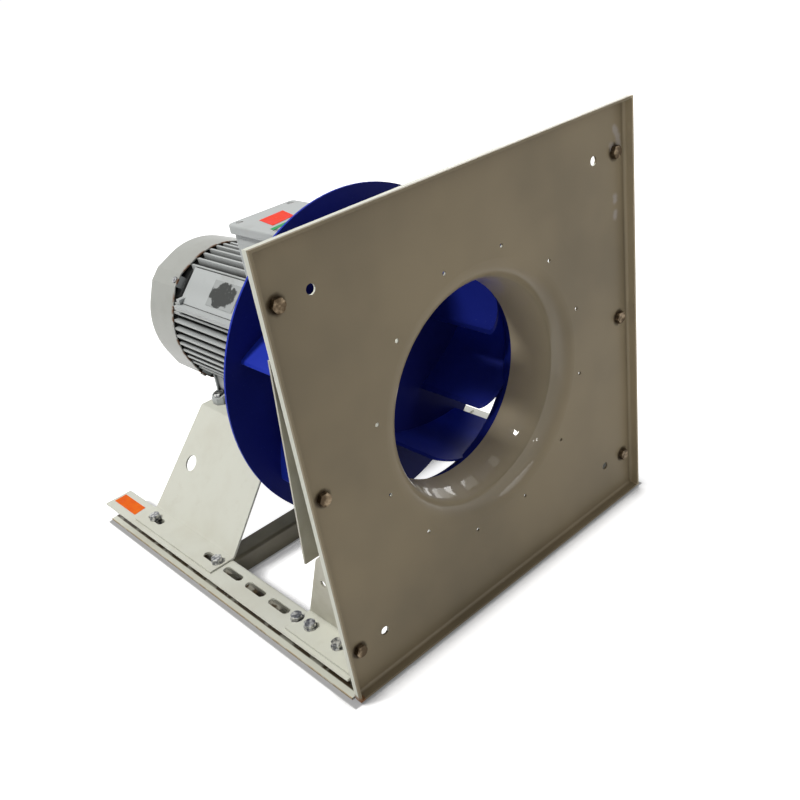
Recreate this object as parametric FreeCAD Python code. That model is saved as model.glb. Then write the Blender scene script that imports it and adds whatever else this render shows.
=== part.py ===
import FreeCAD, Part
import math
import os

V = FreeCAD.Vector

# Direct-drive plug fan: square inlet plate with a pressed bell mouth, backward-curved wheel
# on the shaft of a foot motor, folded pedestal, two slotted C-rails.
# Working axes while building: X right seen from the inlet, Y from the plate's front face
# backwards along the shaft, Z up from the floor. Lengths in mm. At the end every piece is moved
# so that the origin is on the floor, at the middle of the footprint.

# Sheet metal
SHEET = 2.5
BEND_IN = 1.5
CUT_OVER = 1.0

# Inlet plate, its width and height given further down
RIM_DEPTH = 11.5
RIM_FILLET = 6.0
POCKET_FILLET = 3.5
BELL_R_FACE = 146.0
BELL_R_THROAT = 116.5
BELL_CURVE_DEPTH = 60.0
BELL_LIP = 12.0
BELL_TURN_DEG = 72.0
RING_R = 157.75
RING_COUNT = 12
RING_FIRST_DEG = 15.0
RING_HOLE_R = 2.25
CORNER_HOLE_R = 5.0

# Hexagon screws: shank radius, across flats, head height, nut height, washer radius and height
M8_R = 4.0
M8_AF = 13.0
M8_HEAD = 5.3
M8_NUT = 6.5
M8_WASHER_R = 8.0
M8_WASHER_T = 1.6
M6_R = 3.0
M6_AF = 10.0
M6_HEAD = 4.0
CLEARANCE_HOLE = 0.5
THREAD_PROUD = 3.0
CHAMFER = 0.8

# Height of the fan axis, and the foot holes and shaft end of motor frame size 100
RAIL_H = 30.0
PEDESTAL_H = 122.0
PEDESTAL_TOP_Z = RAIL_H + PEDESTAL_H
SHAFT_HEIGHT = 100.0
AXIS_Z = PEDESTAL_TOP_Z + SHAFT_HEIGHT
FOOT_A = 160.0
FOOT_B = 140.0
FOOT_C = 63.0
SHAFT_END_R = 14.0
SHAFT_END_LEN = 60.0

# Wheel
WHEEL_R = 202.5
DISC_T = 3.0
DISC_FRONT_Y = 197.0
BLADE_COUNT = 7
BLADE_T = 2.5
BLADE_TIP_R = 183.0
BLADE_ROOT_R = 108.0
BLADE_TIP_DEG = -47.0
BLADE_WRAP_DEG = 46.0
BLADE_HALF_TURN_DEG = 15.7
BLADE_SPARE_DEG = 3.0
LEAD_R = 105.0
LEAD_CORNER_R = 12.6
LEAD_R_SHROUD = 122.5
INLET_GAP = 2.0
INLET_OVERLAP = 9.0
SHROUD_T = 2.0
SHROUD_IN_R = BELL_R_THROAT + SHEET + INLET_GAP
SHROUD_OUT_R = 185.0
SHROUD_Y0 = BELL_CURVE_DEPTH + BELL_LIP - INLET_OVERLAP
SHROUD_COLLAR = 10.0
SHROUD_ARC_Y = SHROUD_Y0 + SHROUD_COLLAR
SHROUD_ARC_R = 30.0
SHROUD_ARC_DEG = 80.0

# Hub, bush and shaft end
HUB_FRONT_Y = DISC_FRONT_Y + DISC_T
SHAFT_NOSE = 6.0
SHAFT_FRONT_Y = HUB_FRONT_Y - SHAFT_NOSE
SHOULDER_Y = SHAFT_FRONT_Y + SHAFT_END_LEN
HUB_END_GAP = 5.0
HUB_REAR_Y = SHOULDER_Y - HUB_END_GAP
HUB_FLANGE_R = 56.0
HUB_FLANGE_T = 8.0
HUB_BOSS_R = 38.0
HUB_CORNER = 4.0
HUB_PCD_R = 46.0
HUB_BOLTS = 6
BUSH_R_FRONT = 29.0
BUSH_R_REAR = 26.0
DISC_BORE_GAP = 2.0
DISC_BORE_R = BUSH_R_FRONT + DISC_BORE_GAP
END_WASHER_R = 24.0
END_WASHER_T = 4.0
END_WASHER_CLEAR = 0.5
END_BOLT_DEPTH = 20.0
KEY_W = 8.0
KEY_H = 7.0
KEY_DEPTH = 4.0
KEY_LEN = 42.0

# Motor, positions along the shaft
FOOT_FRONT_Y = SHOULDER_Y + FOOT_C
FOOT_REAR_Y = FOOT_FRONT_Y + FOOT_B
SHIELD_GAP = 3.0
SHIELD_FRONT_Y = SHOULDER_Y + SHIELD_GAP
FRONT_BEARING_SETBACK = 12.0
FRONT_BEARING_Y = SHOULDER_Y + FRONT_BEARING_SETBACK
HOUSING_SETBACK = 36.0
HOUSING_Y0 = SHOULDER_Y + HOUSING_SETBACK
HOUSING_LEN = 207.0
HOUSING_Y1 = HOUSING_Y0 + HOUSING_LEN
CORE_SETBACK = 38.0
CORE_Y0 = HOUSING_Y0 + CORE_SETBACK
CORE_LEN = 110.0
CORE_Y1 = CORE_Y0 + CORE_LEN
WINDING_LEN = 24.0
END_RING_LEN = 10.0
REAR_BEARING_INSET = 10.0
REAR_BEARING_Y = HOUSING_Y1 - REAR_BEARING_INSET
REAR_SHIELD_LEN = 12.0
REAR_SHIELD_Y1 = HOUSING_Y1 + REAR_SHIELD_LEN
FAN_SHIELD_GAP = 7.0
FAN_LEN = 30.0
FAN_Y0 = REAR_SHIELD_Y1 + FAN_SHIELD_GAP
FAN_Y1 = FAN_Y0 + FAN_LEN
SHAFT_TAIL = 2.0
SHAFT_REAR_Y = FAN_Y1 + SHAFT_TAIL
COWL_LEN = 71.0
COWL_Y1 = HOUSING_Y1 + COWL_LEN

# Motor, radial sizes: the fins clear the pedestal, the barrel carries them, the core fills it
FIN_FLOOR_GAP = 3.0
FIN_R = SHAFT_HEIGHT - FIN_FLOOR_GAP
FIN_H = 17.0
HOUSING_R = FIN_R - FIN_H
HOUSING_WALL = 8.0
CORE_R = HOUSING_R - HOUSING_WALL
STATOR_BORE_R = 44.0
AIR_GAP = 0.4
ROTOR_BORE_R = 19.0
END_RING_SHARE = 0.7
WINDING_BORE_GAP = 3.0
WINDING_WALL_GAP = 6.0
FIN_T = 3.4
FIN_PITCH = 11.0
FIN_ROOT = 3.0
SIDE_FINS_LOW = -5
SIDE_FINS_HIGH = 4
FLAT_SUNK = 3.0
FLAT_R = FIN_R - FLAT_SUNK
FLAT_HALF_HIGH = 26.0
FLAT_HALF_LOW = 16.0
FLAT_END_INSET = 14.0
FLAT_ROOT = 2.0
LEDGE_ROOT_X = CORE_R
LEDGE_SUNK = 2.0
LEDGE_X = FIN_R - LEDGE_SUNK
LEDGE_Z = 41.0
LEDGE_T = 6.0
LEDGE_STEP = 6.0
LEDGE_POST_X = LEDGE_X - LEDGE_STEP
LEDGE_POST_Z = 54.0
LEDGE_POST_LEN = 8.0

# End shields and bearings
SHAFT_CLEAR = 0.6
SHIELD_RIM_PROUD = 7.0
SHIELD_RIM_R = HOUSING_R + SHIELD_RIM_PROUD
SHIELD_RIM_LEN = 9.0
SHIELD_SPIGOT = 5.0
SHIELD_SPIGOT_T = 5.0
SHIELD_NOSE_WALL = 8.0
SHIELD_NOSE_FLARE = 6.0
SHIELD_NOSE_LEN = 10.0
SHIELD_RIM_STEP = 8.0
SHIELD_RIM_SLOPE = 4.0
SHIELD_BACK_GAP = 3.0
BEARING_SEAT_WALL = 6.0
REAR_SHIELD_PROUD = 10.0
REAR_SHIELD_R = HOUSING_R + REAR_SHIELD_PROUD
FRONT_BEARING_IN_R = 15.0
FRONT_BEARING_OUT_R = 31.0
FRONT_BEARING_W = 16.0
REAR_BEARING_IN_R = 12.5
REAR_BEARING_OUT_R = 26.0
REAR_BEARING_W = 15.0
BEARING_RING_T = 4.2
BALL_GAP = 0.05
BALLS = 8

# Cooling fan and cowl
FAN_R = 92.0
FAN_HUB_R = 22.0
FAN_HUB_BITE = 2.0
FAN_DISC_T = 2.5
FAN_BLADES = 9
FAN_BLADE_T = 2.4
FAN_BLADE_DROP = 2.0
COWL_PROUD = 1.5
COWL_R = FIN_R + COWL_PROUD
COWL_LUG_RISE = 3.0
COWL_LUG_R = COWL_R + COWL_LUG_RISE
COWL_LUG_HALF = 10.0
COWL_T = 1.6
COWL_FILLET = 9.0
COWL_BOSS_SETBACK = 2.0
GRILLE_INNER_R0 = 24.0
GRILLE_INNER_R1 = 46.0
GRILLE_INNER_SLOTS = 10
GRILLE_OUTER_R0 = 52.0
GRILLE_OUTER_R1 = 78.0
GRILLE_OUTER_SLOTS = 20
GRILLE_SLOT_W = 6.0
COWL_SCREW_DY = 7.0
COWL_SCREW_R = 4.5
COWL_SCREW_HEAD = 2.4
COWL_SCREW_EDGE = 0.8

# Motor feet, set out from the foot holes
FOOT_INWARD = 19.0
FOOT_OUTWARD = 10.0
FOOT_X0 = FOOT_A / 2.0 - FOOT_INWARD
FOOT_X1 = FOOT_A / 2.0 + FOOT_OUTWARD
FOOT_T = 10.0
FOOT_RISE = 4.0
FOOT_PAD_HALF = 12.5
FOOT_CORNER = 7.0
FOOT_STRIP_W = 18.0
FOOT_LEG_IN_X = 60.0
FOOT_LEG_TOP_X = 71.0
FOOT_LEG_OUT_X = 74.0
FOOT_LEG_TOE_X = 75.0
FOOT_LEG_TOP_Z = -62.0
FOOT_POCKET_HALF = 9.0

# Terminal box
BOX_LEAD = 2.0
BOX_MID_Y = FOOT_FRONT_Y - BOX_LEAD
BOX_HALF_X = 47.0
BOX_HALF_Y = 47.0
BOX_RISE = 8.0
BOX_Z0 = HOUSING_R + BOX_RISE
BOX_H = 58.5
BOX_Z1 = BOX_Z0 + BOX_H
BOX_WALL = 4.0
BOX_CORNER = 6.0
GASKET_T = 1.5
LID_OVERHANG = 4.0
LID_CORNER = 7.0
LID_EDGE_ROUND = 2.0
LID_T = 11.0
LID_WALL = 3.0
LID_HOLLOW_INSET = 8.0
LID_Z0 = BOX_Z1 + GASKET_T
LID_Z1 = LID_Z0 + LID_T
LID_SCREW_INSET = 8.0
LID_SCREW_R = 2.4
LID_SCREW_HEAD_R = 4.3
LID_SCREW_HEAD = 2.6
LID_SCREW_SUNK = 0.4
LID_SCREW_GAP = 0.3
LID_SCREW_BITE = 12.0
LID_SCREW_SLOT_W = 1.0
LID_SCREW_SLOT_D = 1.2
LID_POST_HALF = 5.0
LID_POST_BORE = 16.0
SADDLE_INSET = 8.0
SADDLE_ROOT = 4.0
WIRE_HOLE_R = 12.0
BOX_HOLE_R = 10.0
BOARD_L = 56.0
BOARD_W = 46.0
BOARD_H = 10.0
STUD_R = 2.5
STUD_H = 16.0
STUD_PITCH = 17.5
STUD_ROW = 11.5
GLAND_R = 12.5
GLAND_AF = 32.0
GLAND_HEX_LEN = 9.0
GLAND_CAP_R = 14.0
GLAND_CAP_LEN = 12.0
GLAND_CAP_EDGE = 2.5
GLAND_INSIDE = 2.0

# Across the fan: wheel, uprights beside it, plate over them, rails under them
UP_WHEEL_GAP = 4.5
UP_WEB_X = WHEEL_R + UP_WHEEL_GAP
UP_FLANGE_W = 39.0
UP_OUT_X = UP_WEB_X + UP_FLANGE_W
PLATE_OVERHANG = 4.0
PLATE_W = 2.0 * (UP_OUT_X + PLATE_OVERHANG)
RAIL_INSET = 2.0
RAIL_IN_X = UP_WEB_X + RAIL_INSET
RAIL_W = 43.0
RAIL_OUT_X = RAIL_IN_X + RAIL_W
SLOT_FROM_WEB = 17.5
SLOT_X = RAIL_IN_X + SLOT_FROM_WEB

# Plate height and the rows of its holes
PLATE_Z0 = 3.0
PLATE_ABOVE_AXIS = 247.5
PLATE_H = AXIS_Z + PLATE_ABOVE_AXIS - PLATE_Z0
PLATE_BOLT_INSET = 20.0
PLATE_BOLT_X = PLATE_W / 2.0 - PLATE_BOLT_INSET
PLATE_BOLT_DZ = 193.5
CORNER_HOLE_INSET = 56.5
CORNER_HOLE_X = PLATE_W / 2.0 - CORNER_HOLE_INSET
CORNER_HOLE_DZ = PLATE_BOLT_DZ

# Pedestal
PED_FOOT_OVERLAP = 36.0
PED_FOOT_IN_X = RAIL_IN_X
PED_FOOT_OUT_X = PED_FOOT_IN_X + PED_FOOT_OVERLAP
PED_TOP_MARGIN = 11.0
PED_TOP_X = FOOT_X1 + PED_TOP_MARGIN
PED_FRONT_REACH = 31.0
PED_REAR_REACH = 31.0
PED_Y0 = FOOT_FRONT_Y - PED_FRONT_REACH
PED_Y1 = FOOT_REAR_Y + PED_REAR_REACH
PED_END_SLOPE = 11.0
PED_FRONT_BOLT_DY = 11.0
PED_REAR_BOLT_DY = 27.0
PED_FRONT_SLOT_DY = 23.0
PED_REAR_SLOT_DY = 30.0
PED_SLOT_LEN = 36.0
PED_HOLE_DY = 39.0
PED_HOLE_Z = 91.0
PED_HOLE_R = 11.5
PED_WINDOW_HALF_X = 45.0
PED_WINDOW_INSET = 35.0

# Uprights behind the plate
UP_TOP_Z = 470.0
UP_TOP_DEPTH = 6.5
UP_FLANGE_TOP_Z = 400.0
UP_FLANGE_TOP_DEPTH = 8.2
UP_NECK_Z = 166.0
UP_NECK_DEPTH = 38.5
UP_GUSSET_Z = 128.0
UP_BASE_DEPTH = 120.0
UP_GUSSET_SHORT = 41.0
UP_GUSSET_DEPTH = UP_BASE_DEPTH - UP_GUSSET_SHORT
UP_HOLE_Z = 95.0
UP_HOLE_R = 4.5
BASE_BOLT_INSET = 22.0
BASE_BOLT_PITCH = 50.0
BASE_BOLT_REAR_Y = UP_BASE_DEPTH - BASE_BOLT_INSET
BASE_BOLT_FRONT_Y = BASE_BOLT_REAR_Y - BASE_BOLT_PITCH
UP_HOLE_LEAD = 22.0
UP_HOLE_Y = BASE_BOLT_REAR_Y - UP_HOLE_LEAD
RAIL_BOLT_GAP = 2.0
RAIL_BOLT_Y = SHEET + UP_BASE_DEPTH + RAIL_BOLT_GAP

# Rails (C-section, open outwards)
RAIL_FRONT_Y = SHEET
RAIL_REAR_Y = COWL_Y1
SLOT_PAST_BOLT = 13.0
SLOT_FIRST_Y = BASE_BOLT_FRONT_Y + SLOT_PAST_BOLT
SLOT_PITCH = 50.0
SLOT_COUNT = 9
SLOT_LEN = 38.0
SLOT_W = 11.0

# Cross beam, under the front of the pedestal
BEAM_LEAD = 2.0
BEAM_W = 32.0
BEAM_Z0 = 4.0
BEAM_Y0 = PED_Y0 - BEAM_LEAD
BEAM_Y1 = BEAM_Y0 + BEAM_W
BEAM_Z1 = RAIL_H

# Plates and labels
LABEL_T = 0.4
NAMEPLATE_T = 0.8
NAMEPLATE_L = 62.0
NAMEPLATE_W = 36.0
NAMEPLATE_SETBACK = 75.0
NAMEPLATE_Y = FOOT_FRONT_Y + NAMEPLATE_SETBACK
RAIL_LABEL_EDGE = 12.0
RAIL_LABEL_SKEW = 3.0
RAIL_LABEL_END = 5.0
RAIL_LABEL_X0 = -(RAIL_OUT_X - RAIL_LABEL_EDGE)
RAIL_LABEL_X1 = -(RAIL_IN_X + RAIL_LABEL_EDGE)
RAIL_LABEL_Y0 = PED_Y1 + RAIL_LABEL_EDGE
RAIL_LABEL_Y1 = RAIL_REAR_Y - RAIL_LABEL_END
RAIL_LABEL_CORNERS = (
    (RAIL_LABEL_X0, RAIL_LABEL_Y0),
    (RAIL_LABEL_X1, RAIL_LABEL_Y0 + RAIL_LABEL_SKEW),
    (RAIL_LABEL_X1, RAIL_LABEL_Y1),
    (RAIL_LABEL_X0, RAIL_LABEL_Y1 - 1.0),
)
RED_LABEL_CORNERS = ((-30.0, -19.0), (6.0, -13.0), (14.0, 21.0), (-24.0, 18.0))
GREEN_LABEL_INSET = 7.0
GREEN_LABEL_L = 26.0
GREEN_X0 = GREEN_LABEL_INSET - BOX_HALF_X
GREEN_X1 = GREEN_X0 + GREEN_LABEL_L
GREEN_LABEL_CORNERS = ((GREEN_X0, -35.0), (GREEN_X1, -31.0), (GREEN_X1, -24.0), (GREEN_X0, -27.0))

# The footprint runs from the front of the plate's rim to the rear of the rails
MIDDLE_Y = (RAIL_REAR_Y - RIM_DEPTH) / 2.0
TO_ORIGIN = V(0, -MIDDLE_Y, 0)
EDGE_TOLERANCE = 0.01
DIAGONAL = math.sqrt(0.5)


# Basic shapes

def box(x0, x1, y0, y1, z0, z1):
    return Part.makeBox(x1 - x0, y1 - y0, z1 - z0, V(x0, y0, z0))


def rod_y(x, z, r, y0, y1):
    return Part.makeCylinder(r, y1 - y0, V(x, y0, z), V(0, 1, 0))


def rod_z(x, y, r, z0, z1):
    return Part.makeCylinder(r, z1 - z0, V(x, y, z0), V(0, 0, 1))


def fuse(shapes):
    shape = shapes[0]
    if len(shapes) > 1:
        shape = shape.multiFuse(shapes[1:])
    return shape.removeSplitter()


def cut(shape, tools):
    return shape.cut(tools) if tools else shape


def mirrored(shape):
    return shape.mirror(V(0, 0, 0), V(1, 0, 0))


def turned(shape, degrees):
    copy = shape.copy()
    copy.rotate(V(0, 0, AXIS_Z), V(0, 1, 0), -degrees)
    return copy


def prism(points, direction):
    wire = Part.makePolygon(points + [points[0]])
    return Part.Face(wire).extrude(direction)


def hexagon(base, axis, across_flats, length):
    # A hexagonal prism with its corners turned down at the far end.
    corner_r = across_flats / math.sqrt(3)
    points = []
    for i in range(6):
        a = math.radians(60 * i)
        points.append(V(corner_r * math.cos(a), corner_r * math.sin(a), 0))
    solid = prism(points, V(0, 0, length))
    wide = corner_r + length - CHAMFER
    solid = solid.common(Part.makeCone(wide, corner_r - CHAMFER, length, V(0, 0, 0), V(0, 0, 1)))
    solid.Placement = FreeCAD.Placement(base, FreeCAD.Rotation(V(0, 0, 1), axis))
    return solid


def hex_bolt(seat, axis, r, across_flats, head, length):
    # The seat is where the head rests; the axis points from the head into the work.
    shank = Part.makeCylinder(r, length, seat, axis)
    return shank.fuse(hexagon(seat, axis * -1, across_flats, head)).removeSplitter()


def hex_nut(seat, axis, r, across_flats, height):
    # The nut stands on its seat and its bore is the shank's own radius.
    nut = hexagon(seat, axis, across_flats, height)
    return nut.cut(Part.makeCylinder(r, height * 3, seat - axis * height, axis))


def washer(seat, axis, r_out, r_in, thick):
    ring = Part.makeCylinder(r_out, thick, seat, axis)
    return ring.cut(Part.makeCylinder(r_in, thick * 3, seat - axis * thick, axis))


def slot_tool(x, y, length, width, z0, z1):
    # A round-ended slot along Y, cut straight down.
    half = (length - width) / 2.0
    body = box(x - width / 2.0, x + width / 2.0, y - half, y + half, z0, z1)
    ends = [rod_z(x, y - half, width / 2.0, z0, z1), rod_z(x, y + half, width / 2.0, z0, z1)]
    return fuse([body] + ends)


def group(shapes):
    return Part.makeCompound(shapes)


# Folded sheet: a path along one side of the sheet, the other side lies to the left of it

def offset_corners(points, distance):
    # The corner points of the same path moved to its left.
    moved = []
    lines = []
    for a, b in zip(points, points[1:]):
        length = math.hypot(b[0] - a[0], b[1] - a[1])
        n = (-(b[1] - a[1]) / length * distance, (b[0] - a[0]) / length * distance)
        lines.append(((a[0] + n[0], a[1] + n[1]), (b[0] + n[0], b[1] + n[1])))
    moved.append(lines[0][0])
    for (p, q), (r, s) in zip(lines, lines[1:]):
        d1 = (q[0] - p[0], q[1] - p[1])
        d2 = (s[0] - r[0], s[1] - r[1])
        t = ((r[0] - p[0]) * d2[1] - (r[1] - p[1]) * d2[0]) / (d1[0] * d2[1] - d1[1] * d2[0])
        moved.append((p[0] + d1[0] * t, p[1] + d1[1] * t))
    moved.append(lines[-1][1])
    return moved


def turn_side(a, b, c):
    return (b[0] - a[0]) * (c[1] - b[1]) - (b[1] - a[1]) * (c[0] - b[0])


def rounded_edges(points, radii, place):
    # Straight edges with an arc of the given radius at each inner corner.
    edges = []
    start = points[0]
    for i in range(1, len(points) - 1):
        a, b, c = points[i - 1], points[i], points[i + 1]
        u = ((a[0] - b[0]), (a[1] - b[1]))
        w = ((c[0] - b[0]), (c[1] - b[1]))
        lu, lw = math.hypot(*u), math.hypot(*w)
        u, w = (u[0] / lu, u[1] / lu), (w[0] / lw, w[1] / lw)
        half = math.acos(max(-1.0, min(1.0, u[0] * w[0] + u[1] * w[1]))) / 2.0
        r = radii[i - 1]
        back = r / math.tan(half)
        first = (b[0] + u[0] * back, b[1] + u[1] * back)
        last = (b[0] + w[0] * back, b[1] + w[1] * back)
        mid_dir = (u[0] + w[0], u[1] + w[1])
        lm = math.hypot(*mid_dir)
        reach = r / math.sin(half) - r
        middle = (b[0] + mid_dir[0] / lm * reach, b[1] + mid_dir[1] / lm * reach)
        edges.append(Part.makeLine(place(*start), place(*first)))
        edges.append(Part.Arc(place(*first), place(*middle), place(*last)).toShape())
        start = last
    edges.append(Part.makeLine(place(*start), place(*points[-1])))
    return edges


def folded(points, place, direction, thick=SHEET, bend=BEND_IN):
    # A bent sheet section swept along the direction.
    other = offset_corners(points, thick)
    near, far = [], []
    for a, b, c in zip(points, points[1:], points[2:]):
        left = turn_side(a, b, c) > 0
        near.append(bend + thick if left else bend)
        far.append(bend if left else bend + thick)
    edges = rounded_edges(points, near, place)
    edges += rounded_edges(other, far, place)
    edges.append(Part.makeLine(place(*points[0]), place(*other[0])))
    edges.append(Part.makeLine(place(*points[-1]), place(*other[-1])))
    wire = Part.Wire(Part.__sortEdges__(edges))
    return Part.Face(wire).extrude(direction)


# Shapes turned about the fan axis

def at(r, y):
    return V(r, y, AXIS_Z)


def turned_solid(edges):
    face = Part.Face(Part.Wire(Part.__sortEdges__(edges)))
    return face.revolve(V(0, 0, AXIS_Z), V(0, 1, 0), 360)


def lathe(points):
    corners = [at(r, y) for r, y in points]
    return turned_solid(Part.makePolygon(corners + [corners[0]]).Edges)


def bell_radii():
    # A small arc at the face and a long one into the throat, meeting in one tangent.
    turn = math.radians(BELL_TURN_DEG)
    s, c = math.sin(turn), math.cos(turn)
    sweep = BELL_R_FACE - BELL_R_THROAT
    long_r = (BELL_CURVE_DEPTH - sweep * (1 - c) / s) / (c - (1 - c) * (1 - s) / s)
    return (sweep - long_r * (1 - s)) / s, long_r


def arc_about(r_centre, y_centre, radius, first_deg, last_deg):
    # Angles run from the face, which looks out along -Y, round to the throat.
    points = []
    for deg in (first_deg, (first_deg + last_deg) / 2.0, last_deg):
        a = math.radians(deg)
        points.append(at(r_centre - radius * math.sin(a), y_centre - radius * math.cos(a)))
    return Part.Arc(*points).toShape(), points[0], points[2]


def bell_mouth():
    # The air side rounds from the plate's front face into a straight throat.
    small_r, long_r = bell_radii()
    small_mid = (BELL_R_FACE, small_r)
    long_mid = (BELL_R_THROAT + long_r, BELL_CURVE_DEPTH)
    lip_y = BELL_CURVE_DEPTH + BELL_LIP
    edges = []
    starts, ends = [], []
    for inset in (0.0, SHEET):
        first, face_end, _ = arc_about(*small_mid, small_r - inset, 0.0, BELL_TURN_DEG)
        second, _, throat = arc_about(*long_mid, long_r - inset, BELL_TURN_DEG, 90.0)
        lip_end = at(BELL_R_THROAT + inset, lip_y)
        edges += [first, second, Part.makeLine(throat, lip_end)]
        starts.append(face_end)
        ends.append(lip_end)
    edges += [Part.makeLine(*starts), Part.makeLine(*ends)]
    return turned_solid(edges)


# Inlet plate

def edges_at(shape, y, x_half, z0, z1):
    # Straight edges lying in the plane y on the outline of a box.
    found = []
    for edge in shape.Edges:
        c = edge.CenterOfMass
        flat = all(abs(v.Y - y) < EDGE_TOLERANCE for v in edge.Vertexes)
        on_side = abs(abs(c.x) - x_half) < EDGE_TOLERANCE
        on_end = min(abs(c.z - z0), abs(c.z - z1)) < EDGE_TOLERANCE
        if flat and (on_side or on_end):
            found.append(edge)
    return found


def plate_holes():
    tools = []
    for i in range(RING_COUNT):
        a = math.radians(RING_FIRST_DEG + i * 360.0 / RING_COUNT)
        x = RING_R * math.cos(a)
        z = AXIS_Z + RING_R * math.sin(a)
        tools.append(rod_y(x, z, RING_HOLE_R, -SHEET, SHEET * 2))
    for sx in (-1, 1):
        for sz in (-1, 1):
            x = sx * CORNER_HOLE_X
            z = AXIS_Z + sz * CORNER_HOLE_DZ
            tools.append(rod_y(x, z, CORNER_HOLE_R, -SHEET, SHEET * 2))
    for x, z in plate_bolt_points():
        tools.append(rod_y(x, z, M8_R + CLEARANCE_HOLE, -SHEET, SHEET * 2))
    return tools


def plate_bolt_points():
    heights = (AXIS_Z - PLATE_BOLT_DZ, AXIS_Z, AXIS_Z + PLATE_BOLT_DZ)
    return [(sx * PLATE_BOLT_X, z) for sx in (-1, 1) for z in heights]


def inlet_plate():
    half = PLATE_W / 2.0
    top = PLATE_Z0 + PLATE_H
    tray = box(-half, half, -RIM_DEPTH, SHEET, PLATE_Z0, top)
    tray = tray.makeFillet(RIM_FILLET, edges_at(tray, SHEET, half, PLATE_Z0, top))
    pocket = box(-half + SHEET, half - SHEET, -RIM_DEPTH - SHEET, 0, PLATE_Z0 + SHEET, top - SHEET)
    low, high = PLATE_Z0 + SHEET, top - SHEET
    pocket = pocket.makeFillet(POCKET_FILLET, edges_at(pocket, 0, half - SHEET, low, high))
    tray = tray.cut(pocket)
    opening = rod_y(0, AXIS_Z, BELL_R_FACE, -SHEET, SHEET * 2)
    tray = tray.cut([opening] + plate_holes())
    return fuse([tray, bell_mouth()])


# Uprights: folded brackets that carry the plate on the rails

def upright():
    # Built for the right-hand side, the web inboard and the flanges turned outwards.
    y0 = SHEET
    web_in = UP_WEB_X
    base_z = RAIL_H
    web_points = [
        (y0, base_z),
        (y0 + UP_BASE_DEPTH, base_z),
        (UP_GUSSET_DEPTH, UP_GUSSET_Z),
        (UP_NECK_DEPTH, UP_NECK_Z),
        (UP_FLANGE_TOP_DEPTH, UP_FLANGE_TOP_Z),
        (UP_TOP_DEPTH, UP_TOP_Z),
        (y0, UP_TOP_Z),
    ]
    web = prism([V(web_in, y, z) for y, z in web_points], V(SHEET, 0, 0))
    front = box(web_in, UP_OUT_X, y0, y0 + SHEET, base_z + SHEET * 2, UP_TOP_Z)
    base = box(web_in, UP_OUT_X, y0, y0 + UP_BASE_DEPTH, base_z, base_z + SHEET)
    rear_points = [
        (UP_NECK_DEPTH, UP_NECK_Z),
        (UP_FLANGE_TOP_DEPTH, UP_FLANGE_TOP_Z),
        (UP_FLANGE_TOP_DEPTH - SHEET, UP_FLANGE_TOP_Z),
        (UP_NECK_DEPTH - SHEET, UP_NECK_Z),
    ]
    rear = prism([V(web_in, y, z) for y, z in rear_points], V(UP_OUT_X - web_in, 0, 0))
    body = fuse([web, front, base, rear])
    tools = [Part.makeCylinder(UP_HOLE_R, SHEET * 3, V(web_in - SHEET, UP_HOLE_Y, UP_HOLE_Z), V(1, 0, 0))]
    for x, z in plate_bolt_points()[3:]:
        tools.append(rod_y(x, z, M8_R + CLEARANCE_HOLE, y0 - SHEET, y0 + SHEET * 2))
    for y in (BASE_BOLT_FRONT_Y, BASE_BOLT_REAR_Y):
        tools.append(rod_z(SLOT_X, y, M8_R + CLEARANCE_HOLE, base_z - SHEET, base_z + SHEET * 2))
    notch_r = M8_WASHER_R + CLEARANCE_HOLE * 2
    tools.append(rod_z(SLOT_X, RAIL_BOLT_Y, notch_r, base_z - SHEET, base_z + SHEET * 2))
    return cut(body, tools)


# Rails

def rail():
    place = lambda u, v: V(u, RAIL_FRONT_Y, v)
    path = [(RAIL_OUT_X, RAIL_H), (RAIL_IN_X, RAIL_H), (RAIL_IN_X, 0), (RAIL_OUT_X, 0)]
    body = folded(path, place, V(0, RAIL_REAR_Y - RAIL_FRONT_Y, 0))
    tools = []
    for i in range(SLOT_COUNT):
        y = SLOT_FIRST_Y + i * SLOT_PITCH
        tools.append(slot_tool(SLOT_X, y, SLOT_LEN, SLOT_W, -SHEET, RAIL_H + SHEET))
    return cut(body, tools)


def cross_beam():
    place = lambda u, v: V(-RAIL_IN_X, u, v)
    path = [(BEAM_Y0, BEAM_Z0), (BEAM_Y0, BEAM_Z1), (BEAM_Y1, BEAM_Z1), (BEAM_Y1, BEAM_Z0)]
    path.reverse()
    return folded(path, place, V(2 * RAIL_IN_X, 0, 0))


# Pedestal

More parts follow.
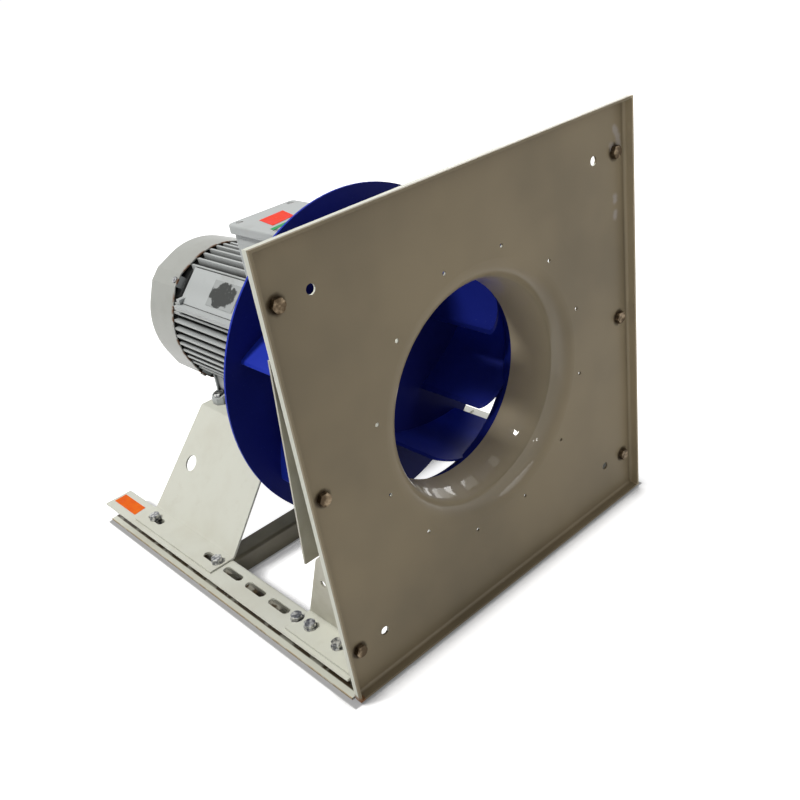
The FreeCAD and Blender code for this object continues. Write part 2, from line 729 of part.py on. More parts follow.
def pedestal():
    # A folded hat: feet on the rails, leaning sides, flat top under the motor.
    place = lambda u, v: V(u, PED_Y0, v)
    top = PEDESTAL_TOP_Z
    foot = RAIL_H
    path = [
        (PED_FOOT_OUT_X, foot + SHEET), (PED_FOOT_IN_X, foot + SHEET),
        (PED_TOP_X, top), (-PED_TOP_X, top),
        (-PED_FOOT_IN_X, foot + SHEET), (-PED_FOOT_OUT_X, foot + SHEET),
    ]
    body = folded(path, place, V(0, PED_Y1 - PED_Y0, 0))
    reach = PED_FOOT_OUT_X + SHEET
    ends = []
    for y, way in ((PED_Y0, 1), (PED_Y1, -1)):
        low_z = foot + SHEET * 2
        corner = [
            V(-reach, y, low_z), V(-reach, y + way * PED_END_SLOPE, top + SHEET),
            V(-reach, y - way * SHEET * 4, top + SHEET), V(-reach, y - way * SHEET * 4, low_z),
        ]
        ends.append(prism(corner, V(2 * reach, 0, 0)))
    tools = list(ends)
    across = (PED_TOP_X - PED_FOOT_IN_X) / (top - foot)
    for sx in (-1, 1):
        for y in (PED_Y0 + PED_FRONT_SLOT_DY, PED_Y1 - PED_REAR_SLOT_DY):
            tools.append(slot_tool(sx * SLOT_X, y, PED_SLOT_LEN, SLOT_W, foot - SHEET, foot + SHEET * 2))
        x = sx * (PED_FOOT_IN_X + across * (PED_HOLE_Z - foot))
        normal = V(sx, 0, -across)
        normal.normalize()
        start = V(x, PED_Y1 - PED_HOLE_DY, PED_HOLE_Z) - normal * (SHEET * 4)
        tools.append(Part.makeCylinder(PED_HOLE_R, SHEET * 8, start, normal))
        for y in (FOOT_FRONT_Y, FOOT_REAR_Y):
            tools.append(rod_z(sx * FOOT_A / 2.0, y, M8_R + CLEARANCE_HOLE, top - SHEET * 2, top + SHEET))
    half = PED_WINDOW_HALF_X
    y0, y1 = PED_Y0 + PED_WINDOW_INSET, PED_Y1 - PED_WINDOW_INSET
    tools.append(box(-half, half, y0, y1, top - SHEET * 2, top + SHEET))
    return cut(body, tools)


# Fasteners of the frame

def plate_bolts():
    bolts = []
    for x, z in plate_bolt_points():
        length = SHEET * 2 + M8_NUT + THREAD_PROUD
        bolts.append(hex_bolt(V(x, 0, z), V(0, 1, 0), M8_R, M8_AF, M8_HEAD, length))
    return group(bolts)


def plate_nuts():
    seats = [V(x, SHEET * 2, z) for x, z in plate_bolt_points()]
    return group([hex_nut(seat, V(0, 1, 0), M8_R, M8_AF, M8_NUT) for seat in seats])


def rail_bolt_seats():
    # Two through each upright's base, one straight on the rail.
    seats = []
    for sx in (-1, 1):
        for y in (BASE_BOLT_FRONT_Y, BASE_BOLT_REAR_Y):
            seats.append(V(sx * SLOT_X, y, RAIL_H + SHEET))
        seats.append(V(sx * SLOT_X, RAIL_BOLT_Y, RAIL_H))
    return seats


def pedestal_bolt_seats():
    rows = (PED_Y0 + PED_FRONT_BOLT_DY, PED_Y1 - PED_REAR_BOLT_DY)
    return [V(sx * SLOT_X, y, RAIL_H + SHEET) for sx in (-1, 1) for y in rows]


def frame_bolts(seats):
    up = V(0, 0, M8_WASHER_T)
    under = RAIL_H - SHEET - M8_NUT - THREAD_PROUD
    bolts = []
    for seat in seats:
        length = seat.z + M8_WASHER_T - under
        bolts.append(hex_bolt(seat + up, V(0, 0, -1), M8_R, M8_AF, M8_HEAD, length))
    return group(bolts)


def frame_washers():
    seats = rail_bolt_seats() + pedestal_bolt_seats()
    return group([washer(s, V(0, 0, 1), M8_WASHER_R, M8_R, M8_WASHER_T) for s in seats])


def frame_nuts():
    seats = rail_bolt_seats() + pedestal_bolt_seats()
    under = RAIL_H - SHEET
    return group([hex_nut(V(s.x, s.y, under), V(0, 0, -1), M8_R, M8_AF, M8_NUT) for s in seats])


# Wheel

def shroud_arc(radius, first_deg, last_deg):
    # Part of the round front plate, as an arc about its own centre.
    r0, y0 = SHROUD_IN_R + SHROUD_ARC_R, SHROUD_ARC_Y
    points = []
    for deg in (first_deg, (first_deg + last_deg) / 2.0, last_deg):
        a = math.radians(deg)
        points.append(at(r0 - radius * math.cos(a), y0 + radius * math.sin(a)))
    return Part.Arc(*points).toShape(), points[0], points[2]


def cone_end(start, r_end):
    # Straight run of the front plate beyond its arc, ended at a radius.
    a = math.radians(SHROUD_ARC_DEG)
    return at(r_end, start.y + (r_end - start.x) * math.cos(a) / math.sin(a))


def shroud():
    flow, f0, f1 = shroud_arc(SHROUD_ARC_R, 0, SHROUD_ARC_DEG)
    outer, o0, o1 = shroud_arc(SHROUD_ARC_R - SHROUD_T, 0, SHROUD_ARC_DEG)
    flow_end = cone_end(f1, SHROUD_OUT_R)
    outer_end = cone_end(o1, SHROUD_OUT_R)
    inlet_in, inlet_out = at(f0.x, SHROUD_Y0), at(o0.x, SHROUD_Y0)
    edges = [
        flow, outer,
        Part.makeLine(inlet_in, f0), Part.makeLine(inlet_in, inlet_out), Part.makeLine(inlet_out, o0),
        Part.makeLine(f1, flow_end), Part.makeLine(flow_end, outer_end), Part.makeLine(outer_end, o1),
    ]
    return turned_solid(edges)


def blade_channel():
    # The ring-shaped room between disc and shroud. Its inner side, the leading edge of a blade,
    # runs along the axis and turns outwards to the shroud in a rounded corner.
    centre_r = SHROUD_IN_R + SHROUD_ARC_R
    first = math.degrees(math.acos((centre_r - LEAD_R_SHROUD) / SHROUD_ARC_R))
    flow, f0, f1 = shroud_arc(SHROUD_ARC_R, first, SHROUD_ARC_DEG)
    tip_front = cone_end(f1, BLADE_TIP_R)
    tip_back = at(BLADE_TIP_R, DISC_FRONT_Y)
    lead_back = at(LEAD_R, DISC_FRONT_Y)
    corner_r = LEAD_R + LEAD_CORNER_R
    corner_y = f0.y + math.sqrt(LEAD_CORNER_R ** 2 - (f0.x - corner_r) ** 2)
    lead_front = at(LEAD_R, corner_y)
    half_turn = (math.pi + math.atan2(corner_y - f0.y, f0.x - corner_r)) / 2.0
    middle = at(corner_r + LEAD_CORNER_R * math.cos(half_turn), corner_y - LEAD_CORNER_R * math.sin(half_turn))
    edges = [
        flow, Part.makeLine(f1, tip_front), Part.makeLine(tip_front, tip_back),
        Part.makeLine(tip_back, lead_back), Part.makeLine(lead_back, lead_front),
        Part.Arc(lead_front, middle, f0).toShape(),
    ]
    return turned_solid(edges)


def blade_strip():
    # One curved blade as a plain strip, longer than needed at both ends.
    tip = math.radians(BLADE_TIP_DEG)
    root = math.radians(BLADE_TIP_DEG - BLADE_WRAP_DEG)
    p1 = (BLADE_ROOT_R * math.cos(root), BLADE_ROOT_R * math.sin(root))
    p2 = (BLADE_TIP_R * math.cos(tip), BLADE_TIP_R * math.sin(tip))
    chord = (p2[0] - p1[0], p2[1] - p1[1])
    length = math.hypot(*chord)
    half = math.radians(BLADE_HALF_TURN_DEG)
    radius = length / (2.0 * math.sin(half))
    left = (-chord[1] / length, chord[0] / length)
    drop = radius * math.cos(half)
    centre = ((p1[0] + p2[0]) / 2.0 + left[0] * drop, (p1[1] + p2[1]) / 2.0 + left[1] * drop)
    start = math.atan2(p1[1] - centre[1], p1[0] - centre[0])
    end = math.atan2(p2[1] - centre[1], p2[0] - centre[0])
    spare = math.radians(BLADE_SPARE_DEG)
    start, end = start - spare, end + spare
    corners = []
    for r in (radius - BLADE_T / 2.0, radius + BLADE_T / 2.0):
        for a in (start, (start + end) / 2.0, end):
            x = centre[0] + r * math.cos(a)
            z = AXIS_Z + centre[1] + r * math.sin(a)
            corners.append(V(x, SHROUD_Y0, z))
    inner = Part.Arc(corners[0], corners[1], corners[2]).toShape()
    outer = Part.Arc(corners[3], corners[4], corners[5]).toShape()
    sides = [Part.makeLine(corners[0], corners[3]), Part.makeLine(corners[2], corners[5])]
    wire = Part.Wire(Part.__sortEdges__([inner, outer] + sides))
    return Part.Face(wire).extrude(V(0, DISC_FRONT_Y - SHROUD_Y0, 0))


def blades():
    one = blade_strip().common(blade_channel()).Solids[0]
    return [turned(one, i * 360.0 / BLADE_COUNT) for i in range(BLADE_COUNT)]


def hub_bolt_points():
    points = []
    for i in range(HUB_BOLTS):
        a = math.radians(i * 360.0 / HUB_BOLTS)
        points.append((HUB_PCD_R * math.cos(a), AXIS_Z + HUB_PCD_R * math.sin(a)))
    return points


def back_plate():
    disc = rod_y(0, AXIS_Z, WHEEL_R, DISC_FRONT_Y, DISC_FRONT_Y + DISC_T)
    tools = [rod_y(0, AXIS_Z, DISC_BORE_R, DISC_FRONT_Y - DISC_T, DISC_FRONT_Y + DISC_T * 2)]
    for x, z in hub_bolt_points():
        tools.append(rod_y(x, z, M6_R, DISC_FRONT_Y - DISC_T, DISC_FRONT_Y + DISC_T * 2))
    return cut(disc, tools)


def bush_cone(y0, y1):
    slope = (BUSH_R_REAR - BUSH_R_FRONT) / (HUB_REAR_Y - HUB_FRONT_Y)
    r0 = BUSH_R_FRONT + slope * (y0 - HUB_FRONT_Y)
    r1 = BUSH_R_FRONT + slope * (y1 - HUB_FRONT_Y)
    return Part.makeCone(r0, r1, y1 - y0, V(0, y0, AXIS_Z), V(0, 1, 0))


def hub():
    step = HUB_FRONT_Y + HUB_FLANGE_T
    body = lathe([
        (0, HUB_FRONT_Y), (HUB_FLANGE_R, HUB_FRONT_Y), (HUB_FLANGE_R, step),
        (HUB_BOSS_R + HUB_CORNER, step), (HUB_BOSS_R, step + HUB_CORNER),
        (HUB_BOSS_R, HUB_REAR_Y), (0, HUB_REAR_Y),
    ])
    tools = [bush_cone(HUB_FRONT_Y - CUT_OVER, HUB_REAR_Y + CUT_OVER)]
    for x, z in hub_bolt_points():
        tools.append(rod_y(x, z, M6_R, HUB_FRONT_Y - CUT_OVER, step + CUT_OVER))
    return cut(body, tools)


def shaft_keyway(y0, y1):
    # Box shared by the key, the shaft and the bush.
    low = AXIS_Z + SHAFT_END_R - KEY_DEPTH
    return box(-KEY_W / 2.0, KEY_W / 2.0, y0, y1, low, low + KEY_H)


def taper_bush():
    y0, y1 = HUB_FRONT_Y - CUT_OVER, HUB_REAR_Y + CUT_OVER
    bore = rod_y(0, AXIS_Z, SHAFT_END_R, y0, y1)
    return cut(bush_cone(HUB_FRONT_Y, HUB_REAR_Y), [bore, shaft_keyway(y0, y1)])


def hub_bolts():
    bolts = []
    length = DISC_T + HUB_FLANGE_T
    for x, z in hub_bolt_points():
        bolts.append(hex_bolt(V(x, DISC_FRONT_Y, z), V(0, 1, 0), M6_R, M6_AF, M6_HEAD, length))
    return group(bolts)


def end_washer():
    # A turned cap: it rests on the bush and reaches over the nose of the shaft.
    cap = rod_y(0, AXIS_Z, END_WASHER_R, SHAFT_FRONT_Y - END_WASHER_T, HUB_FRONT_Y)
    nose_room = rod_y(0, AXIS_Z, SHAFT_END_R + END_WASHER_CLEAR, SHAFT_FRONT_Y, HUB_FRONT_Y + CUT_OVER)
    bolt_hole = rod_y(0, AXIS_Z, M8_R, SHAFT_FRONT_Y - END_WASHER_T - CUT_OVER, HUB_FRONT_Y)
    return cut(cap, [nose_room, bolt_hole])


def end_bolt():
    seat = V(0, SHAFT_FRONT_Y - END_WASHER_T, AXIS_Z)
    return hex_bolt(seat, V(0, 1, 0), M8_R, M8_AF, M8_HEAD, END_WASHER_T + END_BOLT_DEPTH)


def shaft_key():
    return shaft_keyway(HUB_REAR_Y - KEY_LEN, HUB_REAR_Y)


# Motor

def shaft():
    front_seat_end = FRONT_BEARING_Y + FRONT_BEARING_W
    body = lathe([
        (0, SHAFT_FRONT_Y), (SHAFT_END_R - CHAMFER, SHAFT_FRONT_Y), (SHAFT_END_R, SHAFT_FRONT_Y + CHAMFER),
        (SHAFT_END_R, SHOULDER_Y), (FRONT_BEARING_IN_R, SHOULDER_Y), (FRONT_BEARING_IN_R, front_seat_end),
        (ROTOR_BORE_R, front_seat_end), (ROTOR_BORE_R, REAR_BEARING_Y), (REAR_BEARING_IN_R, REAR_BEARING_Y),
        (REAR_BEARING_IN_R, SHAFT_REAR_Y), (0, SHAFT_REAR_Y),
    ])
    keyway = shaft_keyway(HUB_REAR_Y - KEY_LEN, HUB_REAR_Y)
    tapped = rod_y(0, AXIS_Z, M8_R, SHAFT_FRONT_Y - CUT_OVER, SHAFT_FRONT_Y + END_BOLT_DEPTH)
    return cut(body, [keyway, tapped])


def ring_y(r_out, r_in, y0, y1):
    outer = rod_y(0, AXIS_Z, r_out, y0, y1)
    return outer.cut(rod_y(0, AXIS_Z, r_in, y0 - CUT_OVER, y1 + CUT_OVER))


def rotor_core():
    r = STATOR_BORE_R - AIR_GAP
    stack = ring_y(r, ROTOR_BORE_R, CORE_Y0, CORE_Y1)
    ring_r = r - CHAMFER
    front = ring_y(ring_r, ring_r * END_RING_SHARE, CORE_Y0 - END_RING_LEN, CORE_Y0)
    rear = ring_y(ring_r, ring_r * END_RING_SHARE, CORE_Y1, CORE_Y1 + END_RING_LEN)
    return fuse([stack, front, rear])


def stator_core():
    return ring_y(CORE_R, STATOR_BORE_R, CORE_Y0, CORE_Y1)


def stator_winding():
    r_in, r_out = STATOR_BORE_R + WINDING_BORE_GAP, CORE_R - WINDING_WALL_GAP
    front = ring_y(r_out, r_in, CORE_Y0 - WINDING_LEN, CORE_Y0)
    rear = ring_y(r_out, r_in, CORE_Y1, CORE_Y1 + WINDING_LEN)
    return group([front, rear])


def outline_prism(points, y0, y1):
    return prism([V(x, y0, AXIS_Z + z) for x, z in points], V(0, y1 - y0, 0))


def diagonal_block(sx, sz, half, reach, y0, y1):
    # A lengthwise boss whose outer face looks out at 45 degrees.
    inner = CORE_R + FLAT_ROOT
    points = []
    for across, out in ((-half, inner), (-half, reach), (half, reach), (half, inner)):
        points.append(((out + across) * DIAGONAL * sx, (out - across) * DIAGONAL * sz))
    return outline_prism(points, y0, y1)


def fin_span(offset):
    # Where a straight fin at this distance from the middle plane starts and ends.
    edge = abs(offset) + FIN_T / 2.0
    return math.sqrt(HOUSING_R ** 2 - edge ** 2) - FIN_ROOT, math.sqrt(FIN_R ** 2 - edge ** 2)


def side_fins():
    # Flat fins pointing straight out to each side.
    fins = []
    for i in range(SIDE_FINS_LOW, SIDE_FINS_HIGH + 1):
        inner, reach = fin_span(i * FIN_PITCH)
        low = AXIS_Z + i * FIN_PITCH - FIN_T / 2.0
        fin = box(inner, reach, HOUSING_Y0, HOUSING_Y1, low, low + FIN_T)
        fins += [fin, mirrored(fin)]
    return fins


def upright_fins():
    # Flat fins pointing up and down.
    fins = []
    for i in range(SIDE_FINS_LOW + 1, SIDE_FINS_HIGH + 1):
        inner, reach = fin_span(i * FIN_PITCH)
        x = i * FIN_PITCH - FIN_T / 2.0
        fins.append(box(x, x + FIN_T, HOUSING_Y0, HOUSING_Y1, AXIS_Z + inner, AXIS_Z + reach))
        fins.append(box(x, x + FIN_T, HOUSING_Y0, HOUSING_Y1, AXIS_Z - reach, AXIS_Z - inner))
    return fins


def spare_ledges():
    # Spare mounting ledges under the upper flats, tied to them by a post at each end.
    y0, y1 = HOUSING_Y0 + FLAT_END_INSET, HOUSING_Y1 - FLAT_END_INSET
    low = AXIS_Z + LEDGE_Z
    ledges = [box(LEDGE_ROOT_X, LEDGE_X, y0, y1, low, low + LEDGE_T)]
    for start in (y0, y1 - LEDGE_POST_LEN):
        end = start + LEDGE_POST_LEN
        ledges.append(box(LEDGE_ROOT_X, LEDGE_POST_X, start, end, low, AXIS_Z + LEDGE_POST_Z))
    return ledges + [mirrored(ledge) for ledge in ledges]


def motor_housing():
    barrel = rod_y(0, AXIS_Z, HOUSING_R, HOUSING_Y0, HOUSING_Y1)
    y0, y1 = HOUSING_Y0 + FLAT_END_INSET, HOUSING_Y1 - FLAT_END_INSET
    pads = []
    for sx in (-1, 1):
        pads.append(diagonal_block(sx, 1, FLAT_HALF_HIGH, FLAT_R, y0, y1))
        pads.append(diagonal_block(sx, -1, FLAT_HALF_LOW, FLAT_R, y0, y1))
    half_x = BOX_HALF_X - SADDLE_INSET
    rear = BOX_MID_Y + BOX_HALF_Y - SADDLE_INSET
    root_z = AXIS_Z + CORE_R - SADDLE_ROOT
    saddle = box(-half_x, half_x, HOUSING_Y0 + FLAT_ROOT, rear, root_z, AXIS_Z + BOX_Z0)
    body = fuse([barrel] + pads + side_fins() + upright_fins() + spare_ledges() + [saddle])
    box_room = box_block(BOX_HALF_X + CUT_OVER, BOX_HALF_Y + CUT_OVER, BOX_Z0, BOX_Z1)
    wire_hole = rod_z(0, BOX_MID_Y, WIRE_HOLE_R, AXIS_Z, AXIS_Z + BOX_Z0 + CUT_OVER)
    bore = rod_y(0, AXIS_Z, CORE_R, HOUSING_Y0 - CUT_OVER, HOUSING_Y1 + CUT_OVER)
    return cut(body, [box_room, wire_hole, bore])


def front_end_shield():
    clear_r = FRONT_BEARING_IN_R + SHAFT_CLEAR
    seat_r = FRONT_BEARING_OUT_R
    nose_r = seat_r + SHIELD_NOSE_WALL
    rim_y = HOUSING_Y0 - SHIELD_RIM_LEN
    spigot_r = CORE_R - SHIELD_SPIGOT_T
    y0, y1 = SHIELD_FRONT_Y, FRONT_BEARING_Y + FRONT_BEARING_W
    return lathe([
        (clear_r, y0), (nose_r, y0), (nose_r + SHIELD_NOSE_FLARE, y0 + SHIELD_NOSE_LEN),
        (SHIELD_RIM_R - SHIELD_RIM_STEP, rim_y - SHIELD_RIM_SLOPE), (SHIELD_RIM_R, rim_y),
        (SHIELD_RIM_R, HOUSING_Y0), (CORE_R, HOUSING_Y0), (CORE_R, HOUSING_Y0 + SHIELD_SPIGOT),
        (spigot_r, HOUSING_Y0 + SHIELD_SPIGOT), (spigot_r, HOUSING_Y0 - SHIELD_BACK_GAP),
        (seat_r + BEARING_SEAT_WALL, y1), (seat_r, y1), (seat_r, FRONT_BEARING_Y),
        (clear_r, FRONT_BEARING_Y),
    ])


def rear_end_shield():
    clear_r = REAR_BEARING_IN_R + SHAFT_CLEAR
    seat_r = REAR_BEARING_OUT_R
    spigot_r = CORE_R - SHIELD_SPIGOT_T
    y0, y1 = REAR_BEARING_Y, REAR_BEARING_Y + REAR_BEARING_W
    shell = lathe([
        (seat_r, y0), (seat_r + BEARING_SEAT_WALL, y0), (spigot_r, HOUSING_Y1 + SHIELD_BACK_GAP),
        (spigot_r, HOUSING_Y1 - SHIELD_SPIGOT), (CORE_R, HOUSING_Y1 - SHIELD_SPIGOT), (CORE_R, HOUSING_Y1),
        (REAR_SHIELD_R, HOUSING_Y1), (REAR_SHIELD_R, REAR_SHIELD_Y1), (clear_r, REAR_SHIELD_Y1),
        (clear_r, y1), (seat_r, y1),
    ])
    half = COWL_LUG_HALF - COWL_BOSS_SETBACK
    reach = COWL_LUG_R - COWL_T
    lugs = []
    for sx in (-1, 1):
        for sz in (-1, 1):
            lugs.append(diagonal_block(sx, sz, half, reach, HOUSING_Y1 + CUT_OVER, REAR_SHIELD_Y1))
    return fuse([shell] + lugs)


def bearings():
    # Bore radius, outer radius, width and front face of each.
    front = (FRONT_BEARING_IN_R, FRONT_BEARING_OUT_R, FRONT_BEARING_W, FRONT_BEARING_Y)
    rear = (REAR_BEARING_IN_R, REAR_BEARING_OUT_R, REAR_BEARING_W, REAR_BEARING_Y)
    return {"front": front, "rear": rear}


def bearing_outer(end):
    r_in, r_out, width, y0 = bearings()[end]
    return ring_y(r_out, r_out - BEARING_RING_T, y0, y0 + width)


def bearing_inner(end):
    r_in, r_out, width, y0 = bearings()[end]
    return ring_y(r_in + BEARING_RING_T, r_in, y0, y0 + width)


def bearing_balls():
    balls = []
    for r_in, r_out, width, y0 in bearings().values():
        track = (r_in + r_out) / 2.0
        ball_r = (r_out - r_in) / 2.0 - BEARING_RING_T - BALL_GAP
        ball = Part.makeSphere(ball_r, V(track, y0 + width / 2.0, AXIS_Z))
        balls += [turned(ball, i * 360.0 / BALLS) for i in range(BALLS)]
    return group(balls)


def cooling_fan():
    inner = FAN_HUB_R - FAN_HUB_BITE
    half = FAN_BLADE_T / 2.0
    hub_part = ring_y(FAN_HUB_R, REAR_BEARING_IN_R, FAN_Y0, FAN_Y1)
    disc = ring_y(FAN_R, inner, FAN_Y0, FAN_Y0 + FAN_DISC_T)
    vane = box(inner, FAN_R, FAN_Y0, FAN_Y1 - FAN_BLADE_DROP, AXIS_Z - half, AXIS_Z + half)
    return fuse([hub_part, disc] + [turned(vane, i * 360.0 / FAN_BLADES) for i in range(FAN_BLADES)])


def cowl_outline(grow, y0, y1):
    # Round drum that swells to a flat at each diagonal, along lines that touch the circle.
    r, reach = COWL_R + grow, COWL_LUG_R + grow
    top = math.hypot(reach, COWL_LUG_HALF)
    flat = math.atan2(COWL_LUG_HALF, reach)
    swell = flat + math.acos(r / top)

    def on(radius, angle):
        return V(radius * math.cos(angle), y0, AXIS_Z + radius * math.sin(angle))

    edges = []
    for i in range(4):
        middle = math.radians(45.0 + i * 90.0)
        corners = [on(r, middle - swell), on(top, middle - flat), on(top, middle + flat), on(r, middle + swell)]
        edges += [Part.makeLine(a, b) for a, b in zip(corners, corners[1:])]
        next_one = middle + math.radians(90.0)
        edges.append(Part.Arc(corners[3], on(r, (middle + next_one) / 2.0), on(r, next_one - swell)).toShape())
    wire = Part.Wire(Part.__sortEdges__(edges))
    return Part.Face(wire).extrude(V(0, y1 - y0, 0))


def rear_outline_edges(shape, y):
    found = []
    for edge in shape.Edges:
        if all(abs(v.Y - y) < EDGE_TOLERANCE for v in edge.Vertexes):
            found.append(edge)
    return found


def grille_slots():
    # Radial slots in two rings, cut through the rear wall.
    inner = (GRILLE_INNER_R0, GRILLE_INNER_R1, GRILLE_INNER_SLOTS)
    outer = (GRILLE_OUTER_R0, GRILLE_OUTER_R1, GRILLE_OUTER_SLOTS)
    half = GRILLE_SLOT_W / 2.0
    slots = []
    for r0, r1, count in (inner, outer):
        slot = box(r0, r1, COWL_Y1 - COWL_T * 2, COWL_Y1 + CUT_OVER, AXIS_Z - half, AXIS_Z + half)
        slots += [turned(slot, i * 360.0 / count) for i in range(count)]
    return slots


def fan_cowl():
    outer = cowl_outline(0, HOUSING_Y1, COWL_Y1)
    outer = outer.makeFillet(COWL_FILLET, rear_outline_edges(outer, COWL_Y1))
    inner = cowl_outline(-COWL_T, HOUSING_Y1 - CUT_OVER, COWL_Y1 - COWL_T)
    inner = inner.makeFillet(COWL_FILLET - COWL_T, rear_outline_edges(inner, COWL_Y1 - COWL_T))
    return cut(outer.cut(inner), grille_slots())


def cowl_screws():
    screws = []
    for sx in (-1, 1):
        for sz in (-1, 1):
            out = V(sx * DIAGONAL, 0, sz * DIAGONAL)
            seat = V(0, HOUSING_Y1 + COWL_SCREW_DY, AXIS_Z) + out * COWL_LUG_R
            head = Part.makeCylinder(COWL_SCREW_R, COWL_SCREW_HEAD, seat, out)
            rim = max(head.Edges, key=lambda e: e.CenterOfMass.dot(out))
            screws.append(head.makeChamfer(COWL_SCREW_EDGE, [rim]))
    return group(screws)


def foot_corner(y, side, z0, z1):
    # What comes off an outer corner of a foot pad.
    x, far = FOOT_X1 + CUT_OVER, FOOT_CORNER + CUT_OVER
    edge = y + side * CUT_OVER
    points = [V(x, edge, z0), V(FOOT_X1 - far, edge, z0), V(x, y - side * far, z0)]
    return prism(points, V(0, 0, z1 - z0))


def motor_foot():
    # Right-hand foot casting: a base strip on the pedestal and a leg at each end, up to the
    # housing's low flat.
    line = FLAT_R / DIAGONAL
    base = -SHAFT_HEIGHT
    pad_top = base + FOOT_T
    points = [
        (FOOT_X0, base), (FOOT_X1, base), (FOOT_X1, pad_top), (FOOT_LEG_TOE_X, pad_top + FOOT_RISE),
        (FOOT_LEG_OUT_X, FOOT_LEG_TOP_Z), (FOOT_LEG_TOP_X, FOOT_LEG_TOP_X - line),
        (FOOT_LEG_IN_X, FOOT_LEG_IN_X - line), (FOOT_LEG_IN_X, pad_top + FOOT_RISE),
    ]
    bolt_x = FOOT_A / 2.0
    base_z = AXIS_Z + base
    half = FOOT_PAD_HALF
    strip_y0, strip_y1 = FOOT_FRONT_Y - half, FOOT_REAR_Y + half
    body = [box(FOOT_X0, FOOT_X0 + FOOT_STRIP_W, strip_y0, strip_y1, base_z, base_z + FOOT_T)]
    tools = []
    for y in (FOOT_FRONT_Y, FOOT_REAR_Y):
        body.append(outline_prism(points, y - half, y + half))
        tools.append(rod_z(bolt_x, y, M8_R + CLEARANCE_HOLE, base_z - CUT_OVER, base_z + FOOT_T))
        tools.append(box(bolt_x - FOOT_POCKET_HALF, FOOT_X1 + CUT_OVER, y - FOOT_POCKET_HALF,
                         y + FOOT_POCKET_HALF, base_z + FOOT_T, AXIS_Z + FOOT_LEG_TOP_Z))
        for side in (-1, 1):
            corner_top = base_z + FOOT_T + FOOT_RISE
            tools.append(foot_corner(y + side * half, side, base_z - CUT_OVER, corner_top))
    return cut(fuse(body), tools)


def motor_foot_points():
    half = FOOT_A / 2.0
    return [(sx * half, y) for sx in (-1, 1) for y in (FOOT_FRONT_Y, FOOT_REAR_Y)]


def motor_foot_bolts():
    top = PEDESTAL_TOP_Z + FOOT_T
    length = FOOT_T + SHEET + M8_NUT + THREAD_PROUD
    points = motor_foot_points()
    return group([hex_bolt(V(x, y, top), V(0, 0, -1), M8_R, M8_AF, M8_HEAD, length) for x, y in points])


def motor_foot_nuts():
    under = PEDESTAL_TOP_Z - SHEET
    points = motor_foot_points()
    return group([hex_nut(V(x, y, under), V(0, 0, -1), M8_R, M8_AF, M8_NUT) for x, y in points])


# Terminal box

def box_block(half_x, half_y, z0, z1):
    return box(-half_x, half_x, BOX_MID_Y - half_y, BOX_MID_Y + half_y, AXIS_Z + z0, AXIS_Z + z1)


def upright_edges(shape):
    found = []
    for edge in shape.Edges:
        a, b = edge.Vertexes[0].Point, edge.Vertexes[-1].Point
        if math.hypot(a.x - b.x, a.y - b.y) < EDGE_TOLERANCE:
            found.append(edge)
    return found


def rounded_block(half_x, half_y, z0, z1, r):
    block = box_block(half_x, half_y, z0, z1)
    return block.makeFillet(r, upright_edges(block))


def lid_screw_points():
    reach_x = BOX_HALF_X - LID_SCREW_INSET
    reach_y = BOX_HALF_Y - LID_SCREW_INSET
    return [(sx * reach_x, BOX_MID_Y + sy * reach_y) for sx in (-1, 1) for sy in (-1, 1)]


def screw_posts(z0, z1):
    half = LID_POST_HALF
    posts = []
    for x, y in lid_screw_points():
        posts.append(box(x - half, x + half, y - half, y + half, AXIS_Z + z0, AXIS_Z + z1))
    return posts


def screw_bores(z0, z1):
    return [rod_z(x, y, LID_SCREW_R, AXIS_Z + z0, AXIS_Z + z1) for x, y in lid_screw_points()]


def gland_height():
    return AXIS_Z + (BOX_Z0 + BOX_Z1) / 2.0


def terminal_box():
    shell = rounded_block(BOX_HALF_X, BOX_HALF_Y, BOX_Z0, BOX_Z1, BOX_CORNER)
    floor_z = BOX_Z0 + BOX_WALL
    shell = shell.cut(box_block(BOX_HALF_X - BOX_WALL, BOX_HALF_Y - BOX_WALL, floor_z, BOX_Z1 + CUT_OVER))
    body = fuse([shell] + screw_posts(BOX_Z0 + CUT_OVER, BOX_Z1))
    tools = screw_bores(BOX_Z1 - LID_POST_BORE, BOX_Z1 + CUT_OVER)
    tools.append(rod_z(0, BOX_MID_Y, BOX_HOLE_R, AXIS_Z + BOX_Z0 - CUT_OVER, AXIS_Z + floor_z + CUT_OVER))
    start = V(BOX_HALF_X - BOX_WALL * 2, BOX_MID_Y, gland_height())
    tools.append(Part.makeCylinder(GLAND_R, BOX_WALL * 3, start, V(1, 0, 0)))
    return cut(body, tools)


def box_gasket():
    outer = rounded_block(BOX_HALF_X, BOX_HALF_Y, BOX_Z1, LID_Z0, BOX_CORNER)
    z0, z1 = BOX_Z1 - CUT_OVER, LID_Z0 + CUT_OVER
    frame = outer.cut(box_block(BOX_HALF_X - BOX_WALL, BOX_HALF_Y - BOX_WALL, z0, z1))
    return cut(fuse([frame] + screw_posts(BOX_Z1, LID_Z0)), screw_bores(z0, z1))


